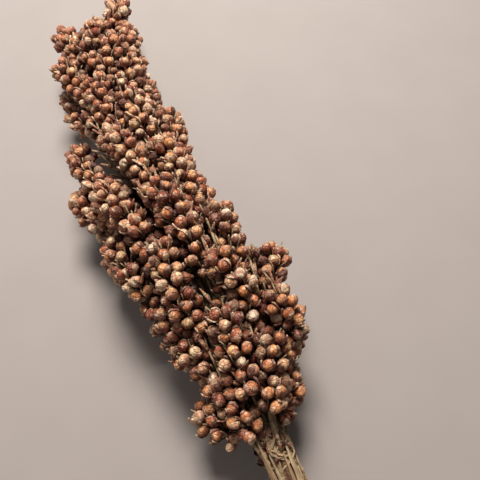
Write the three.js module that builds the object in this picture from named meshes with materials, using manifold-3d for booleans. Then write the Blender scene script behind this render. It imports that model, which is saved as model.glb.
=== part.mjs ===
// Dried sorghum seed head, cut with a short length of stalk and lying on its side.
// Millimetres, +Z up, the head's tip towards +Y. One mesh is the straw-coloured stalk with the bare feet
// of its branches. Each other mesh is the grain-bearing spray at the end of one branch: one solid whose
// surface is stretched over the grains round the branch's line, a raised cell for each grain.
import * as THREE from "three";
import Module from "manifold-3d";

const wasm = await Module();
wasm.setup();

// Driving sizes
const HEAD_LENGTH = 215; // from the lowest ring of branches to the tip
const STALK_BELOW = 78; // bare stalk under the lowest ring
const STALK_RADIUS = 4.7;
const GRAIN_RADIUS = 2.1; // a true grain, husks included
const RING_RADIUS = 4.5; // from a branch's line to the middle of its grains
const BRANCH_RADIUS = RING_RADIUS + 0.85 * GRAIN_RADIUS; // room that a spray takes
const FOOT_RADIUS = 0.95; // bare foot of a branch
const FACE_GAP = 0.4; // between two meshes
const BRANCHES = 45; // placed by the spiral rule, besides the hand-placed ones
const GOLDEN_ANGLE = 2.399963;

// Draws the same numbers in any language: the products stay exact in a double.
let state = 90210;
function random() {
  state = (state * 16807) % 2147483647;
  return state / 2147483647;
}
const spread = (half) => (2 * random() - 1) * half;

// A smooth line through rows of [place, value, value, ...], as a function of place.
function smoothTable(rows) {
  const slope = (k, column) => {
    const before = rows[Math.max(k - 1, 0)];
    const after = rows[Math.min(k + 1, rows.length - 1)];
    return (after[column] - before[column]) / (after[0] - before[0]);
  };
  return (place) => {
    const at = Math.min(Math.max(place, rows[0][0]), rows[rows.length - 1][0]);
    let k = 0;
    while (k < rows.length - 2 && at > rows[k + 1][0]) k += 1;
    const width = rows[k + 1][0] - rows[k][0];
    const t = (at - rows[k][0]) / width;
    return rows[k].slice(1).map((value, i) => {
      const next = rows[k + 1][i + 1];
      const rise = width * slope(k, i + 1);
      const fall = width * slope(k + 1, i + 1);
      return (
        (2 * t ** 3 - 3 * t ** 2 + 1) * value +
        (t ** 3 - 2 * t ** 2 + t) * rise +
        (3 * t ** 2 - 2 * t ** 3) * next +
        (t ** 3 - t ** 2) * fall
      );
    });
  };
}

// The stalk's line: y, then x, z and its radius.
const stalkTable = smoothTable([
  [-STALK_BELOW, 8, STALK_RADIUS, STALK_RADIUS],
  [-40, 4.5, 7.5, STALK_RADIUS],
  [0, 0, 14, 4.9],
  [25, -2.2, 18.5, 4.4],
  [45, -2.6, 21, 4],
  [62, -4.8, 22.7, 3.6],
  [92, -7, 24, 3],
  [122, -12, 23, 2.4],
  [147, -13.5, 22, 2],
  [186, -9, 20.5, 1.4],
  [202, -4.5, 20, 1.1],
  [HEAD_LENGTH, 0, 19.5, 0.8],
]);
function stalkAt(y) {
  const [x, z, radius] = stalkTable(y);
  return { x, y, z, radius };
}

// How far the head reaches from the stalk's line: y, then left, right and up.
const reachTable = smoothTable([
  [0, 8, 7, 8],
  [13, 14, 8, 13],
  [30, 15, 31, 18],
  [50, 20, 32, 23],
  [70, 28, 26, 25],
  [81, 30, 21, 25],
  [93, 30, 17, 25],
  [106, 25, 17, 24],
  [118, 18, 19, 24],
  [130, 17, 22, 22],
  [145, 22, 17, 19],
  [165, 28, 17, 18],
  [185, 25, 14, 17],
  [200, 17, 7, 11],
  [HEAD_LENGTH, 6, 5, 6],
]);
function reachAt(y, angle) {
  const [left, right, up] = reachTable(y);
  const across = Math.cos(angle) / (Math.cos(angle) > 0 ? right : left);
  const along = Math.sin(angle) / up;
  return 1 / Math.sqrt(across * across + along * along);
}

// Each branch: where its foot leaves the stalk, where its end stands, which way round the stalk (0 is +X,
// a quarter turn is up) and how far out the end's middle stands.
const BEADS = 9;
const BARE_BEADS = 3;
const quarter = Math.PI / 2;
const handPlaced = [
  // the shoot at the very tip and the one beside it
  { foot: 190, end: 213, angle: 2 * quarter, out: 0.5, stiff: 1, girth: 1 },
  { foot: 182, end: 198, angle: 1.9 * quarter, out: 10, stiff: 0.6, girth: 0.9 },
  // three that stand out on the left of the upper head
  { foot: 166, end: 198, angle: 1.95 * quarter, out: 21, stiff: 0.7, girth: 1.03 },
  { foot: 152, end: 189, angle: 2.05 * quarter, out: 17.5, stiff: 0.7, girth: 1 },
  { foot: 138, end: 173, angle: 1.9 * quarter, out: 19, stiff: 0.7, girth: 1 },
  // the slim one that hangs clear on the left, and four below it
  { foot: 84, end: 133, angle: 1.95 * quarter, out: 19, stiff: 0.95, girth: 0.82 },
  { foot: 80, end: 120, angle: 2.2 * quarter, out: 25, stiff: 0.8, girth: 0.85 },
  { foot: 76, end: 113, angle: 2.05 * quarter, out: 25, stiff: 0.8, girth: 0.9 },
  { foot: 68, end: 100, angle: 1.95 * quarter, out: 20, stiff: 0.75, girth: 0.95 },
  { foot: 52, end: 83, angle: 2.1 * quarter, out: 25, stiff: 0.75, girth: 0.95 },
  // two low on the left, with a bare foot that shows
  { foot: 28, end: 60, angle: 1.85 * quarter, out: 14, stiff: 0.8, girth: 0.95 },
  { foot: 32, end: 70, angle: 2.3 * quarter, out: 15, stiff: 0.5, girth: 0.9 },
  // the lowest, on the left
  { foot: 6, end: 26, angle: 2.05 * quarter, out: 4, stiff: 0.5, girth: 0.9 },
  // one that leans out on the right
  { foot: 32, end: 62, angle: 0.05 * quarter, out: 23, stiff: 0.5, girth: 1 },
];

// The room that a branch takes at each bead: a bare foot, then a slim part that its neighbours hide, then
// the part with grains.
function beadRoom(b, girth) {
  if (b < BARE_BEADS) return FOOT_RADIUS + 0.4 * b;
  return girth * [3.9, 5.4, BRANCH_RADIUS][Math.min(b - BARE_BEADS, 2)];
}

// How long a branch is, by where its end stands.
const branchLength = smoothTable([
  [10, 10],
  [30, 24],
  [60, 42],
  [100, 52],
  [150, 44],
  [205, 24],
]);

const LOWEST_END = 21;
const HIGHEST_END = 197;
function spiralBranches() {
  const rows = [];
  for (let k = 0; k < BRANCHES; k += 1) {
    // ends stand evenly over the head's surface, so they crowd where it is widest
    const share = (k + 0.5) / BRANCHES;
    const end = LOWEST_END + (HIGHEST_END - LOWEST_END) * (share * 0.85 + share * share * 0.15);
    const [length] = branchLength(end);
    rows.push({
      foot: Math.max(end - length + spread(2), 1 + 3 * random()),
      end: end + spread(2),
      angle: k * GOLDEN_ANGLE + spread(0.12),
      out: null,
      stiff: 0,
      girth: 0.95 + spread(0.1),
    });
  }
  return rows;
}

const branches = [...handPlaced, ...spiralBranches()].map((row) => {
  const out = row.out ?? Math.max(reachAt(row.end, row.angle) - row.girth * BRANCH_RADIUS, 1);
  const beads = [];
  for (let b = 0; b < BEADS; b += 1) {
    const t = b / (BEADS - 1);
    const y = row.foot + (row.end - row.foot) * t;
    const middle = stalkAt(y);
    const away = middle.radius * 0.6 * (1 - t) + out * (1 - (1 - t) ** 1.7);
    const radius = beadRoom(b, row.girth);
    beads.push({
      x: middle.x + away * Math.cos(row.angle),
      y,
      z: Math.max(middle.z + away * Math.sin(row.angle), radius),
      radius,
      free: b > 0 ? 1 - 0.75 * row.stiff : 0,
    });
  }
  return { ...row, beads, spans: spansOf(beads) };
});

function spansOf(beads) {
  return beads.slice(1).map((bead, b) => distance(bead, beads[b]));
}

function distance(a, b) {
  return Math.sqrt((a.x - b.x) ** 2 + (a.y - b.y) ** 2 + (a.z - b.z) ** 2);
}

// The branches lie beside each other, as in a real head: beads of two branches that press into each other
// move apart, each branch keeps its length and stays smooth, and nothing sinks below the table.
const ROUNDS = 90;
const HOME_PULL = 0.03; // how strongly a bead is drawn back to its first place, in each round
const KEEP_BACK = 0.6; // how much of the way a bead goes back to its bounds, in each round
const SMOOTHING = 0.2;
const TOUCHING = 1e-6;
function settle() {
  const all = branches.flatMap((branch, owner) => branch.beads.map((bead, b) => ({ bead, owner, b })));
  for (const item of all) item.start = { ...item.bead };
  for (let round = 0; round < ROUNDS; round += 1) {
    const moves = all.map(() => [0, 0, 0, 0]);
    for (let i = 0; i < all.length; i += 1) {
      for (let j = i + 1; j < all.length; j += 1) {
        if (all[i].owner === all[j].owner) continue;
        const p = all[i].bead;
        const q = all[j].bead;
        const room = p.radius + q.radius;
        if (Math.abs(p.y - q.y) > room) continue;
        const apart = distance(p, q);
        if (apart >= room || apart < TOUCHING) continue;
        const share = p.free + q.free;
        if (share === 0) continue;
        const push = (0.5 * (room - apart)) / apart / share;
        [p.x - q.x, p.y - q.y, p.z - q.z].forEach((d, axis) => {
          moves[i][axis] += d * push * p.free;
          moves[j][axis] -= d * push * q.free;
        });
        moves[i][3] += 1;
        moves[j][3] += 1;
      }
    }
    all.forEach(({ bead, start, b }, i) => {
      if (b === 0) return;
      const ease = 1 / Math.max(1, 0.6 * moves[i][3]);
      bead.x += moves[i][0] * ease + HOME_PULL * (start.x - bead.x);
      bead.y += moves[i][1] * ease + HOME_PULL * (start.y - bead.y);
      bead.z += moves[i][2] * ease + HOME_PULL * (start.z - bead.z);
      keepOffStalk(bead, b);
      keepInHead(bead, b);
      keepOutOfOpenings(bead, b);
      bead.z = Math.max(bead.z, bead.radius);
    });
    for (const branch of branches) {
      smoothLine(branch.beads);
      keepLengths(branch);
    }
  }
}

// Places where the head is open: x and y at the stalk's height, the radius, and the lowest z that it reaches.
// Each opening runs up and slightly towards the stalk's cut end, and pushes branches aside.
const openings = [
  { x: -26.6, y: 126, radius: 3.5, low: -50 },
  { x: -24, y: 117, radius: 3.5, low: -50 },
  { x: -21, y: 107, radius: 1, low: -50 },
  { x: -10.5, y: 50, radius: 2, low: 17 },
  { x: -9.5, y: 42, radius: 2, low: 17 },
];
const OPENING_HEIGHT = 24;
const OPENING_EYE = { x: -15.9, y: -7, z: 189.5 };
const TIP_LENGTH = 22; // the last of the head, where the grains close over the stalk
const STALK_HOLD = 0.62; // share of its room that a spray keeps off the stalk

function keepOutOfOpenings(bead, b) {
  if (b < BARE_BEADS) return;
  for (const { x, y, radius, low } of openings) {
    if (bead.z < low) continue;
    const rise = (bead.z - OPENING_HEIGHT) / (OPENING_EYE.z - OPENING_HEIGHT);
    const dx = bead.x - (x + rise * (OPENING_EYE.x - x));
    const dy = bead.y - (y + rise * (OPENING_EYE.y - y));
    const room = radius + bead.radius;
    if (dx * dx + dy * dy >= room * room) continue;
    const beside = Math.sqrt(room * room - dy * dy) * (dx < 0 ? -1 : 1);
    bead.x += KEEP_BACK * (beside - dx);
  }
}

function keepOffStalk(bead, b) {
  if (b < 2) return;
  const middle = stalkAt(bead.y);
  const room = middle.radius + (b < BARE_BEADS ? bead.radius : STALK_HOLD * bead.radius + 0.5);
  const dx = bead.x - middle.x;
  const dz = bead.z - middle.z;
  const away = Math.sqrt(dx * dx + dz * dz);
  if (away >= room || away < TOUCHING || bead.y > HEAD_LENGTH - TIP_LENGTH) return;
  bead.x += (dx / away) * (room - away);
  bead.z += (dz / away) * (room - away);
}

function keepInHead(bead, b) {
  if (b < BARE_BEADS || bead.free < 0.9) return;
  const middle = stalkAt(bead.y);
  const dx = bead.x - middle.x;
  const dz = bead.z - middle.z;
  const away = Math.sqrt(dx * dx + dz * dz);
  const limit = Math.max(reachAt(bead.y, Math.atan2(dz, dx)) - bead.radius, 0.5);
  if (away <= limit) return;
  const back = KEEP_BACK * (away - limit);
  bead.x -= (dx / away) * back;
  bead.z -= (dz / away) * back;
}

function smoothLine(beads) {
  const before = beads.map((bead) => [bead.x, bead.y, bead.z]);
  for (let b = 2; b < beads.length - 1; b += 1) {
    const middle = [0, 1, 2].map((axis) => 0.5 * (before[b - 1][axis] + before[b + 1][axis]));
    beads[b].x += SMOOTHING * (middle[0] - beads[b].x);
    beads[b].y += SMOOTHING * (middle[1] - beads[b].y);
    beads[b].z += SMOOTHING * (middle[2] - beads[b].z);
  }
}

function keepLengths({ beads, spans }) {
  for (let b = 1; b < beads.length; b += 1) {
    const p = beads[b - 1];
    const q = beads[b];
    const stretch = spans[b - 1] / Math.max(distance(p, q), TOUCHING);
    q.x = p.x + (q.x - p.x) * stretch;
    q.y = p.y + (q.y - p.y) * stretch;
    q.z = p.z + (q.z - p.z) * stretch;
  }
}

settle();

// Grains: one at the end of each spray's line, then rows of them round it back towards the foot, each row
// turned by half a place.
const ROW_STEP = 4.2;
const GRAIN_PITCH = 4.65; // between neighbours in a row
const TIP_AHEAD = 4.4; // of the end grain, past the line's end
const DOME_ROW = { ahead: 2.4, away: 0.9 };
const FIRST_ROW = 1.3; // of the first full row, back from the line's end
const LAST_ROOM = 0.62; // rows end where the line's room is under this share of the full one
const SEEN_LOOKS = 3; // lines of sight that a grain needs to be seen

const toVector = (p) => new THREE.Vector3(p.x, p.y, p.z);

// The point, the direction and the room of a branch's line, a distance back from its end.
function lineAt(beads, back) {
  let left = Math.max(back, 0);
  for (let b = beads.length - 1; b > 0; b -= 1) {
    const span = distance(beads[b], beads[b - 1]);
    if (left <= span || b === 1) {
      const share = left / span;
      const end = toVector(beads[b]);
      const foot = toVector(beads[b - 1]);
      return {
        point: end.clone().lerp(foot, share),
        along: end.sub(foot).normalize(),
        room: beads[b].radius + (beads[b - 1].radius - beads[b].radius) * share,
      };
    }
    left -= span;
  }
  return null;
}

// How many lines of sight out of the head are open at a place, past the other branches.
const LOOKS = 8;
const DENSE_SHARE = 0.85; // share of a spray's room that can't be seen through
function openLooks(place, out, owner) {
  const side = Math.abs(out.z) < 0.9 ? new THREE.Vector3(0, 0, 1) : new THREE.Vector3(1, 0, 0);
  const right = side.cross(out).normalize();
  const up = out.clone().cross(right);
  let open = 0;
  for (let k = 0; k < LOOKS; k += 1) {
    const turn = (2 * Math.PI * k) / LOOKS;
    const lean = k % 2 === 0 ? 0.35 : 0.9;
    const ray = out
      .clone()
      .addScaledVector(right, lean * Math.cos(turn))
      .addScaledVector(up, lean * Math.sin(turn))
      .normalize();
    if (!isBlocked(place, ray, owner)) open += 1;
  }
  return open;
}

function isBlocked(place, ray, owner) {
  return branches.some((branch, other) => {
    if (other === owner) return false;
    return branch.beads.some((bead, b) => {
      if (b < BARE_BEADS) return false;
      const to = toVector(bead).sub(place);
      const ahead = to.dot(ray);
      if (ahead < 0) return false;
      return to.lengthSq() - ahead * ahead < (bead.radius * DENSE_SHARE) ** 2;
    });
  });
}

// A spray's grains: the end grain and the rows, each grain with the point of the line that it stands round.
function sprayOf(branch, owner) {
  const count = Math.max(Math.round((2 * Math.PI * RING_RADIUS * branch.girth) / GRAIN_PITCH), 4);
  const end = lineAt(branch.beads, 0);
  let side = new THREE.Vector3(0, 0, 1);
  const grainAt = ({ point, along }, ahead, away, turn) => {
    const across = along.clone().cross(side);
    const out = side
      .clone()
      .multiplyScalar(away * Math.cos(turn))
      .addScaledVector(across, away * Math.sin(turn));
    const middle = point.clone().addScaledVector(along, ahead).add(out);
    out.addScaledVector(along, Math.max(ahead, 0) + 0.2 * away + 0.01).normalize();
    const open = openLooks(middle, out, owner);
    return { axis: point, middle, out, start: middle.clone(), open };
  };
  const turnTo = ({ along }) => {
    side = side.clone().addScaledVector(along, -along.dot(side)).normalize();
  };
  turnTo(end);
  const tip = grainAt(end, TIP_AHEAD * branch.girth + spread(0.4), 0, 0);
  const first = spread(Math.PI);
  const rows = [];
  const full = BRANCH_RADIUS * branch.girth;
  for (let i = 0; ; i += 1) {
    const back = i === 0 ? 0 : FIRST_ROW + (i - 1) * ROW_STEP;
    const place = lineAt(branch.beads, back);
    if (i > 1 && place.room < LAST_ROOM * full) break;
    turnTo(place);
    const away = RING_RADIUS * (place.room / BRANCH_RADIUS) * (i === 0 ? DOME_ROW.away : 1 + spread(0.08));
    const ahead = i === 0 ? DOME_ROW.ahead * branch.girth : 0;
    rows.push(
      Array.from({ length: count }, (_, k) => {
        const turn = first + ((k + 0.5 * (i % 2)) * 2 * Math.PI) / count + spread(0.16);
        return grainAt(place, ahead + spread(i === 0 ? 0.4 : 0.8), away + spread(0.5), turn);
      }),
    );
  }
  while (rows.length > 2 && rows[rows.length - 1].every((grain) => grain.open < SEEN_LOOKS)) rows.pop();
  return { count, tip, rows, side };
}

// Grains that would sit in each other move apart a little.
const GRAIN_ROOM = 3.95;
const LONGEST_SHIFT = 1.3;
const SPACING_ROUNDS = 10;
function spaceOut(grains) {
  const cellOf = (v) => [v.x, v.y, v.z].map((value) => Math.floor(value / GRAIN_ROOM));
  for (let round = 0; round < SPACING_ROUNDS; round += 1) {
    const cells = new Map();
    grains.forEach((grain, i) => {
      const key = cellOf(grain.middle).join();
      cells.set(key, [...(cells.get(key) ?? []), i]);
    });
    const moves = grains.map(() => new THREE.Vector3());
    grains.forEach((grain, i) => {
      const [cx, cy, cz] = cellOf(grain.middle);
      for (let n = 0; n < 27; n += 1) {
        const key = [cx + (n % 3) - 1, cy + (Math.floor(n / 3) % 3) - 1, cz + Math.floor(n / 9) - 1].join();
        for (const j of cells.get(key) ?? []) {
          const gap = grain.middle.clone().sub(grains[j].middle);
          const apart = gap.length();
          if (j === i || apart >= GRAIN_ROOM || apart < TOUCHING) continue;
          moves[i].addScaledVector(gap, (0.4 * (GRAIN_ROOM - apart)) / apart);
        }
      }
    });
    grains.forEach((grain, i) => {
      const shift = grain.middle.clone().add(moves[i]).sub(grain.start).clampLength(0, LONGEST_SHIFT);
      grain.middle.copy(grain.start).add(shift);
      grain.middle.z = Math.max(grain.middle.z, GRAIN_RADIUS);
    });
  }
}

const sprays = branches.map(sprayOf);
const grains = sprays.flatMap(({ tip, rows }) => [tip, ...rows.flat()]);
spaceOut(grains.filter((grain) => grain.open >= SEEN_LOOKS));

// Solids

// A closed solid from points and faces, each face a list of corners seen anticlockwise from outside.
function solid(points, faces) {
  const triangles = faces.flatMap((face) => face.slice(2).map((_, i) => [face[0], face[i + 1], face[i + 2]]));
  return new wasm.Manifold(
    new wasm.Mesh({
      numProp: 3,
      vertProperties: new Float32Array(points.flatMap((p) => [p.x, p.y, p.z])),
      triVerts: new Uint32Array(triangles.flat()),
    }),
  );
}

// A tube along stations, each a point with its own radius, closed at both ends.
function tube(stations, sides) {
  const rings = [];
  let side = new THREE.Vector3(0, 0, 1);
  stations.forEach(({ point, radius }, k) => {
    const ahead = stations[Math.min(k + 1, stations.length - 1)].point;
    const behind = stations[Math.max(k - 1, 0)].point;
    const along = ahead.clone().sub(behind).normalize();
    side = side.clone().addScaledVector(along, -along.dot(side)).normalize();
    const across = along.clone().cross(side);
    for (let s = 0; s < sides; s += 1) {
      const turn = (2 * Math.PI * s) / sides;
      rings.push(
        point
          .clone()
          .addScaledVector(side, radius * Math.cos(turn))
          .addScaledVector(across, radius * Math.sin(turn)),
      );
    }
  });
  const faces = [];
  for (let k = 0; k < stations.length - 1; k += 1) {
    for (let s = 0; s < sides; s += 1) {
      const next = (s + 1) % sides;
      faces.push([k * sides + s, k * sides + next, (k + 1) * sides + next, (k + 1) * sides + s]);
    }
  }
  const last = (stations.length - 1) * sides;
  faces.push(Array.from({ length: sides }, (_, s) => sides - 1 - s));
  faces.push(Array.from({ length: sides }, (_, s) => last + s));
  return solid(rings, faces);
}

const FOOT_SIDES = 3;
const footOf = ({ beads }) =>
  [beads[0], beads[BARE_BEADS - 1]].map((bead) => ({ point: toVector(bead), radius: FOOT_RADIUS }));

const STALK_SIDES = 10;
const STALK_STATIONS = [-STALK_BELOW, -55, -30, -8, 0, 6, 25, 50, 80, 110, 140, 165, 190];
const stalkLine = STALK_STATIONS.map((y) => {
  const place = stalkAt(y);
  return { point: toVector(place), radius: place.radius };
});

// The skin of a spray, stretched over its grains: each grain is a cell of it, raised in the middle, and three
// cells meet at each low point between grains. Every point of the skin is a ray from the spray's line.
const GROOVE = 0.93; // how deep the skin lies between grains, as a share of the way out
const CROWN_LIFT = 1.45; // of a blunt grain's three corners, out from its middle
const CROWN_RADIUS = 1.55;
const PEAK_LIFT = 1.95; // of a plain grain's one corner
const BLUNT_LOOKS = 8; // lines of sight from which a grain is blunt
const REST_SLOPE = -0.85; // a grain that faces down more than this, and is this low, lies flat on the table
const REST_HEIGHT = 2.9;
const REST_RADIUS = 1.8; // of its flat spot's corners
const NECK = { radius: 1.6, end: 1 };

function skinOf({ count, tip, rows, side }, branch) {
  const points = [];
  const faces = [];
  const addPoint = (axis, place) => points.push({ axis, ray: place.clone().sub(axis), share: 1 }) - 1;
  const meeting = (...cells) => {
    const mean = (pick) =>
      cells
        .reduce((sum, cell) => sum.add(pick(cell)), new THREE.Vector3())
        .multiplyScalar(1 / cells.length);
    const axis = mean((cell) => cell.axis);
    return addPoint(axis, axis.clone().lerp(mean((cell) => cell.middle), GROOVE));
  };
  const at = (row, k) => row[(k + count) % count];
  const columns = Array.from({ length: count }, (_, k) => k);

  // low points: round the end grain, between each two rows (below the upper's grains, above the lower's),
  // and under the last row
  const crown = columns.map((k) => meeting(tip, rows[0][k], at(rows[0], k + 1)));
  const between = rows.slice(1).map((lower, i) => {
    const upper = rows[i];
    const turned = i % 2; // whether the upper row is the one turned by half a place
    return {
      below: columns.map((k) => meeting(upper[k], at(lower, k - 1 + turned), at(lower, k + turned))),
      above: columns.map((k) => meeting(lower[k], at(upper, k - turned), at(upper, k + 1 - turned))),
    };
  });
  const last = rows[rows.length - 1];
  const hem = columns.map((k) => meeting(last[k], at(last, k + 1)));

  const raise = (cell, ring) => {
    if (cell.open < SEEN_LOOKS) {
      faces.push(ring);
      return;
    }
    if (cell.open < BLUNT_LOOKS) {
      const peak = addPoint(cell.axis, cell.middle.clone().addScaledVector(cell.out, PEAK_LIFT));
      ring.forEach((corner, i) => faces.push([corner, ring[(i + 1) % ring.length], peak]));
      return;
    }
    const rests = cell.out.z < REST_SLOPE && cell.middle.z < REST_HEIGHT;
    const starts = [0, 1, 2].map((j) => Math.round((j * ring.length) / 3));
    const tops = starts.map((start) => {
      const corner = points[ring[start]];
      const lean = corner.axis.clone().add(corner.ray).sub(cell.middle);
      lean.addScaledVector(cell.out, -lean.dot(cell.out)).normalize();
      const place = cell.middle.clone().addScaledVector(cell.out, CROWN_LIFT);
      const top = addPoint(cell.axis, place.addScaledVector(lean, rests ? REST_RADIUS : CROWN_RADIUS));
      points[top].rests = rests;
      return top;
    });
    faces.push(tops);
    const turns = starts.map((start, j) => Math.round((start + (starts[j + 1] ?? ring.length)) / 2));
    ring.forEach((corner, i) => {
      const next = (i + 1) % ring.length;
      const past = turns.findIndex((turn) => i < turn);
      const j = past === -1 ? 0 : past;
      faces.push([corner, ring[next], tops[j]]);
      const hand = turns.indexOf(i + 1);
      if (hand !== -1) faces.push([tops[hand], ring[next], tops[(hand + 1) % 3]]);
    });
  };

  raise(tip, crown);
  rows.forEach((row, i) => {
    const odd = i % 2;
    row.forEach((cell, k) => {
      const upper = i === 0 ? null : between[i - 1];
      const lower = i === rows.length - 1 ? null : between[i];
      const over = upper
        ? [at(upper.below, k + odd), upper.above[k], at(upper.below, k - 1 + odd)]
        : [crown[k], at(crown, k - 1)];
      const under = lower
        ? [at(lower.above, k - 1 + odd), lower.below[k], at(lower.above, k + odd)]
        : [at(hem, k - 1), hem[k]];
      raise(cell, [...over, ...under]);
    });
  });

  // the neck from the last row down to the foot
  const ringAt = (point, along, radius) => {
    const across = along.clone().cross(side);
    return columns.map((k) => {
      const here = points[hem[k]];
      const lean = here.ray.clone().addScaledVector(along, -here.ray.dot(along));
      const turn = Math.atan2(lean.dot(across), lean.dot(side));
      const place = point
        .clone()
        .addScaledVector(side, radius * Math.cos(turn))
        .addScaledVector(across, radius * Math.sin(turn));
      return addPoint(point, place);
    });
  };
  const foot = toVector(branch.beads[BARE_BEADS - 1]);
  const neck = toVector(branch.beads[BARE_BEADS]);
  const along = neck.clone().sub(foot).normalize();
  const nearFoot = foot.clone().addScaledVector(along, FACE_GAP);
  const rings = [hem, ringAt(neck, along, NECK.radius), ringAt(nearFoot, along, NECK.end)];
  for (let r = 0; r < 2; r += 1) {
    for (const k of columns) {
      const next = (k + 1) % count;
      faces.push([rings[r][k], rings[r + 1][k], rings[r + 1][next], rings[r][next]]);
    }
  }
  faces.push([...rings[2]].reverse());
  return { points, faces };
}

const skins = sprays.map((spray, i) => skinOf(spray, branches[i]));

// Each spray keeps to the space nearer to its own line than to another's, and off the stalk and the feet.
const SAMPLE_STEP = 1.5;
const SLIMMEST = 0.12;
function samplesOf(stations) {
  return stations.slice(1).flatMap((next, k) => {
    const here = stations[k];
    const steps = Math.ceil(here.point.distanceTo(next.point) / SAMPLE_STEP);
    return Array.from({ length: steps + 1 }, (_, i) => ({
      point: here.point.clone().lerp(next.point, i / steps),
      radius: here.radius + ((next.radius - here.radius) * i) / steps,
    }));
  });
}
const lines = branches.map(({ beads }) =>
  samplesOf(beads.slice(BARE_BEADS - 1).map((bead) => ({ point: toVector(bead), radius: bead.radius }))),
);
const bare = [samplesOf(stalkLine), ...branches.map((branch) => samplesOf(footOf(branch)))];

function keepApart({ points }, owner) {
  const own = branches[owner];
  for (const corner of points) {
    const length = corner.ray.length();
    const limit = (other, allowed) => {
      const to = other.clone().sub(corner.axis);
      const apart = to.length();
      const reach = corner.ray.dot(to) / apart;
      if (reach > 0) corner.share = Math.min(corner.share, Math.max(allowed(apart), SLIMMEST) / reach);
    };
    lines.forEach((line, other) => {
      if (other === owner) return;
      for (const { point, radius } of line) {
        if (point.distanceTo(corner.axis) > 3 * BRANCH_RADIUS) continue;
        const part = BRANCH_RADIUS * own.girth;
        limit(point, (apart) => (apart * part) / (part + radius) - FACE_GAP / 2);
      }
    });
    bare.forEach((line, other) => {
      if (other === owner + 1) return;
      for (const { point, radius } of line) {
        if (point.distanceTo(corner.axis) > length + radius + 2) continue;
        limit(point, (apart) => apart - radius - FACE_GAP);
      }
    });
  }
}
skins.forEach(keepApart);

function bodyOf({ points, faces }, swell) {
  const corners = points.map(({ axis, ray, share, rests }) => {
    const length = ray.length() * share;
    const corner = axis.clone().addScaledVector(ray, (share * (length + swell)) / length);
    corner.z = rests ? 0 : Math.max(corner.z, 0);
    return corner;
  });
  return solid(corners, faces);
}

const swollen = (stations, swell) => stations.map(({ point, radius }) => ({ point, radius: radius + swell }));
const stalkBody = (swell) =>
  wasm.Manifold.union([
    tube(swollen(stalkLine, swell), STALK_SIDES),
    ...branches.map((branch) => tube(swollen(footOf(branch), swell), FOOT_SIDES)),
  ]);
const stalk = stalkBody(0);

// Where two meshes would still meet, the corners there are drawn in. A foot that still runs through a spray
// keeps a groove of its own in it.
const SWELL = 0.12;
const DRAW_ROUNDS = 10;
const DRAW_REACH = 1.2;
const DRAW_SHARE = 0.93;

function boxOf(body) {
  const { min, max } = body.boundingBox();
  return new THREE.Box3(new THREE.Vector3(...min), new THREE.Vector3(...max));
}

// Draws a skin in round each piece of a shared space, and says whether there was any.
function drawIn(shared, meeting) {
  for (const piece of shared.decompose()) {
    const box = boxOf(piece);
    for (const corner of meeting.flatMap((skin) => skin.points)) {
      const place = corner.axis.clone().addScaledVector(corner.ray, corner.share);
      if (box.distanceToPoint(place) < DRAW_REACH) corner.share *= DRAW_SHARE;
    }
  }
  return !shared.isEmpty();
}

function drawInRound() {
  const grown = skins.map((skin) => bodyOf(skin, SWELL));
  const boxes = grown.map(boxOf);
  let met = false;
  grown.forEach((body, i) => {
    for (let j = i + 1; j < grown.length; j += 1) {
      if (!boxes[i].intersectsBox(boxes[j])) continue;
      if (drawIn(body.intersect(grown[j]), [skins[i], skins[j]])) met = true;
    }
    if (drawIn(body.intersect(stalk), [skins[i]])) met = true;
  });
  return met;
}
for (let round = 0; round < DRAW_ROUNDS && drawInRound(); round += 1);

const roundFeet = stalkBody(SWELL * 2);
const sprayBodies = skins.map((skin) => {
  const body = bodyOf(skin, 0);
  if (bodyOf(skin, SWELL).intersect(stalk).isEmpty()) return body;
  const pieces = body.subtract(roundFeet).decompose();
  return pieces.reduce((best, piece) => (piece.volume() > best.volume() ? piece : best));
});

// Meshes, with the lowest point at z = 0 and the middle of the whole over the origin
const bodies = [
  ["stalk", stalk],
  ...sprayBodies.map((body, i) => [`spray_${String(i + 1).padStart(2, "0")}`, body]),
];
const whole = new THREE.Box3();
for (const [, body] of bodies) whole.union(boxOf(body));
const middle = whole.getCenter(new THREE.Vector3());

const STRAW = new THREE.Color(0.62, 0.52, 0.34);
const GRAIN_BROWN = new THREE.Color(0.47, 0.27, 0.17);

function meshOf(name, body, colour, roughness) {
  const { vertProperties, triVerts } = body.getMesh();
  const geometry = new THREE.BufferGeometry();
  geometry.setAttribute("position", new THREE.BufferAttribute(Float32Array.from(vertProperties), 3));
  geometry.setIndex(new THREE.BufferAttribute(Uint32Array.from(triVerts), 1));
  geometry.translate(-middle.x, -middle.y, -whole.min.z);
  geometry.computeVertexNormals();
  const material = new THREE.MeshStandardMaterial({ color: colour, roughness, metalness: 0 });
  const mesh = new THREE.Mesh(geometry, material);
  mesh.name = name;
  return mesh;
}

const group = new THREE.Group();
group.name = "sorghum_seed_head";
for (const [name, body] of bodies) {
  group.add(name === "stalk" ? meshOf(name, body, STRAW, 0.7) : meshOf(name, body, GRAIN_BROWN, 0.55));
}
export default group;
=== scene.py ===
import math
import random

import bmesh
import bpy
import numpy as np
from mathutils import Matrix, Vector


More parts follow.
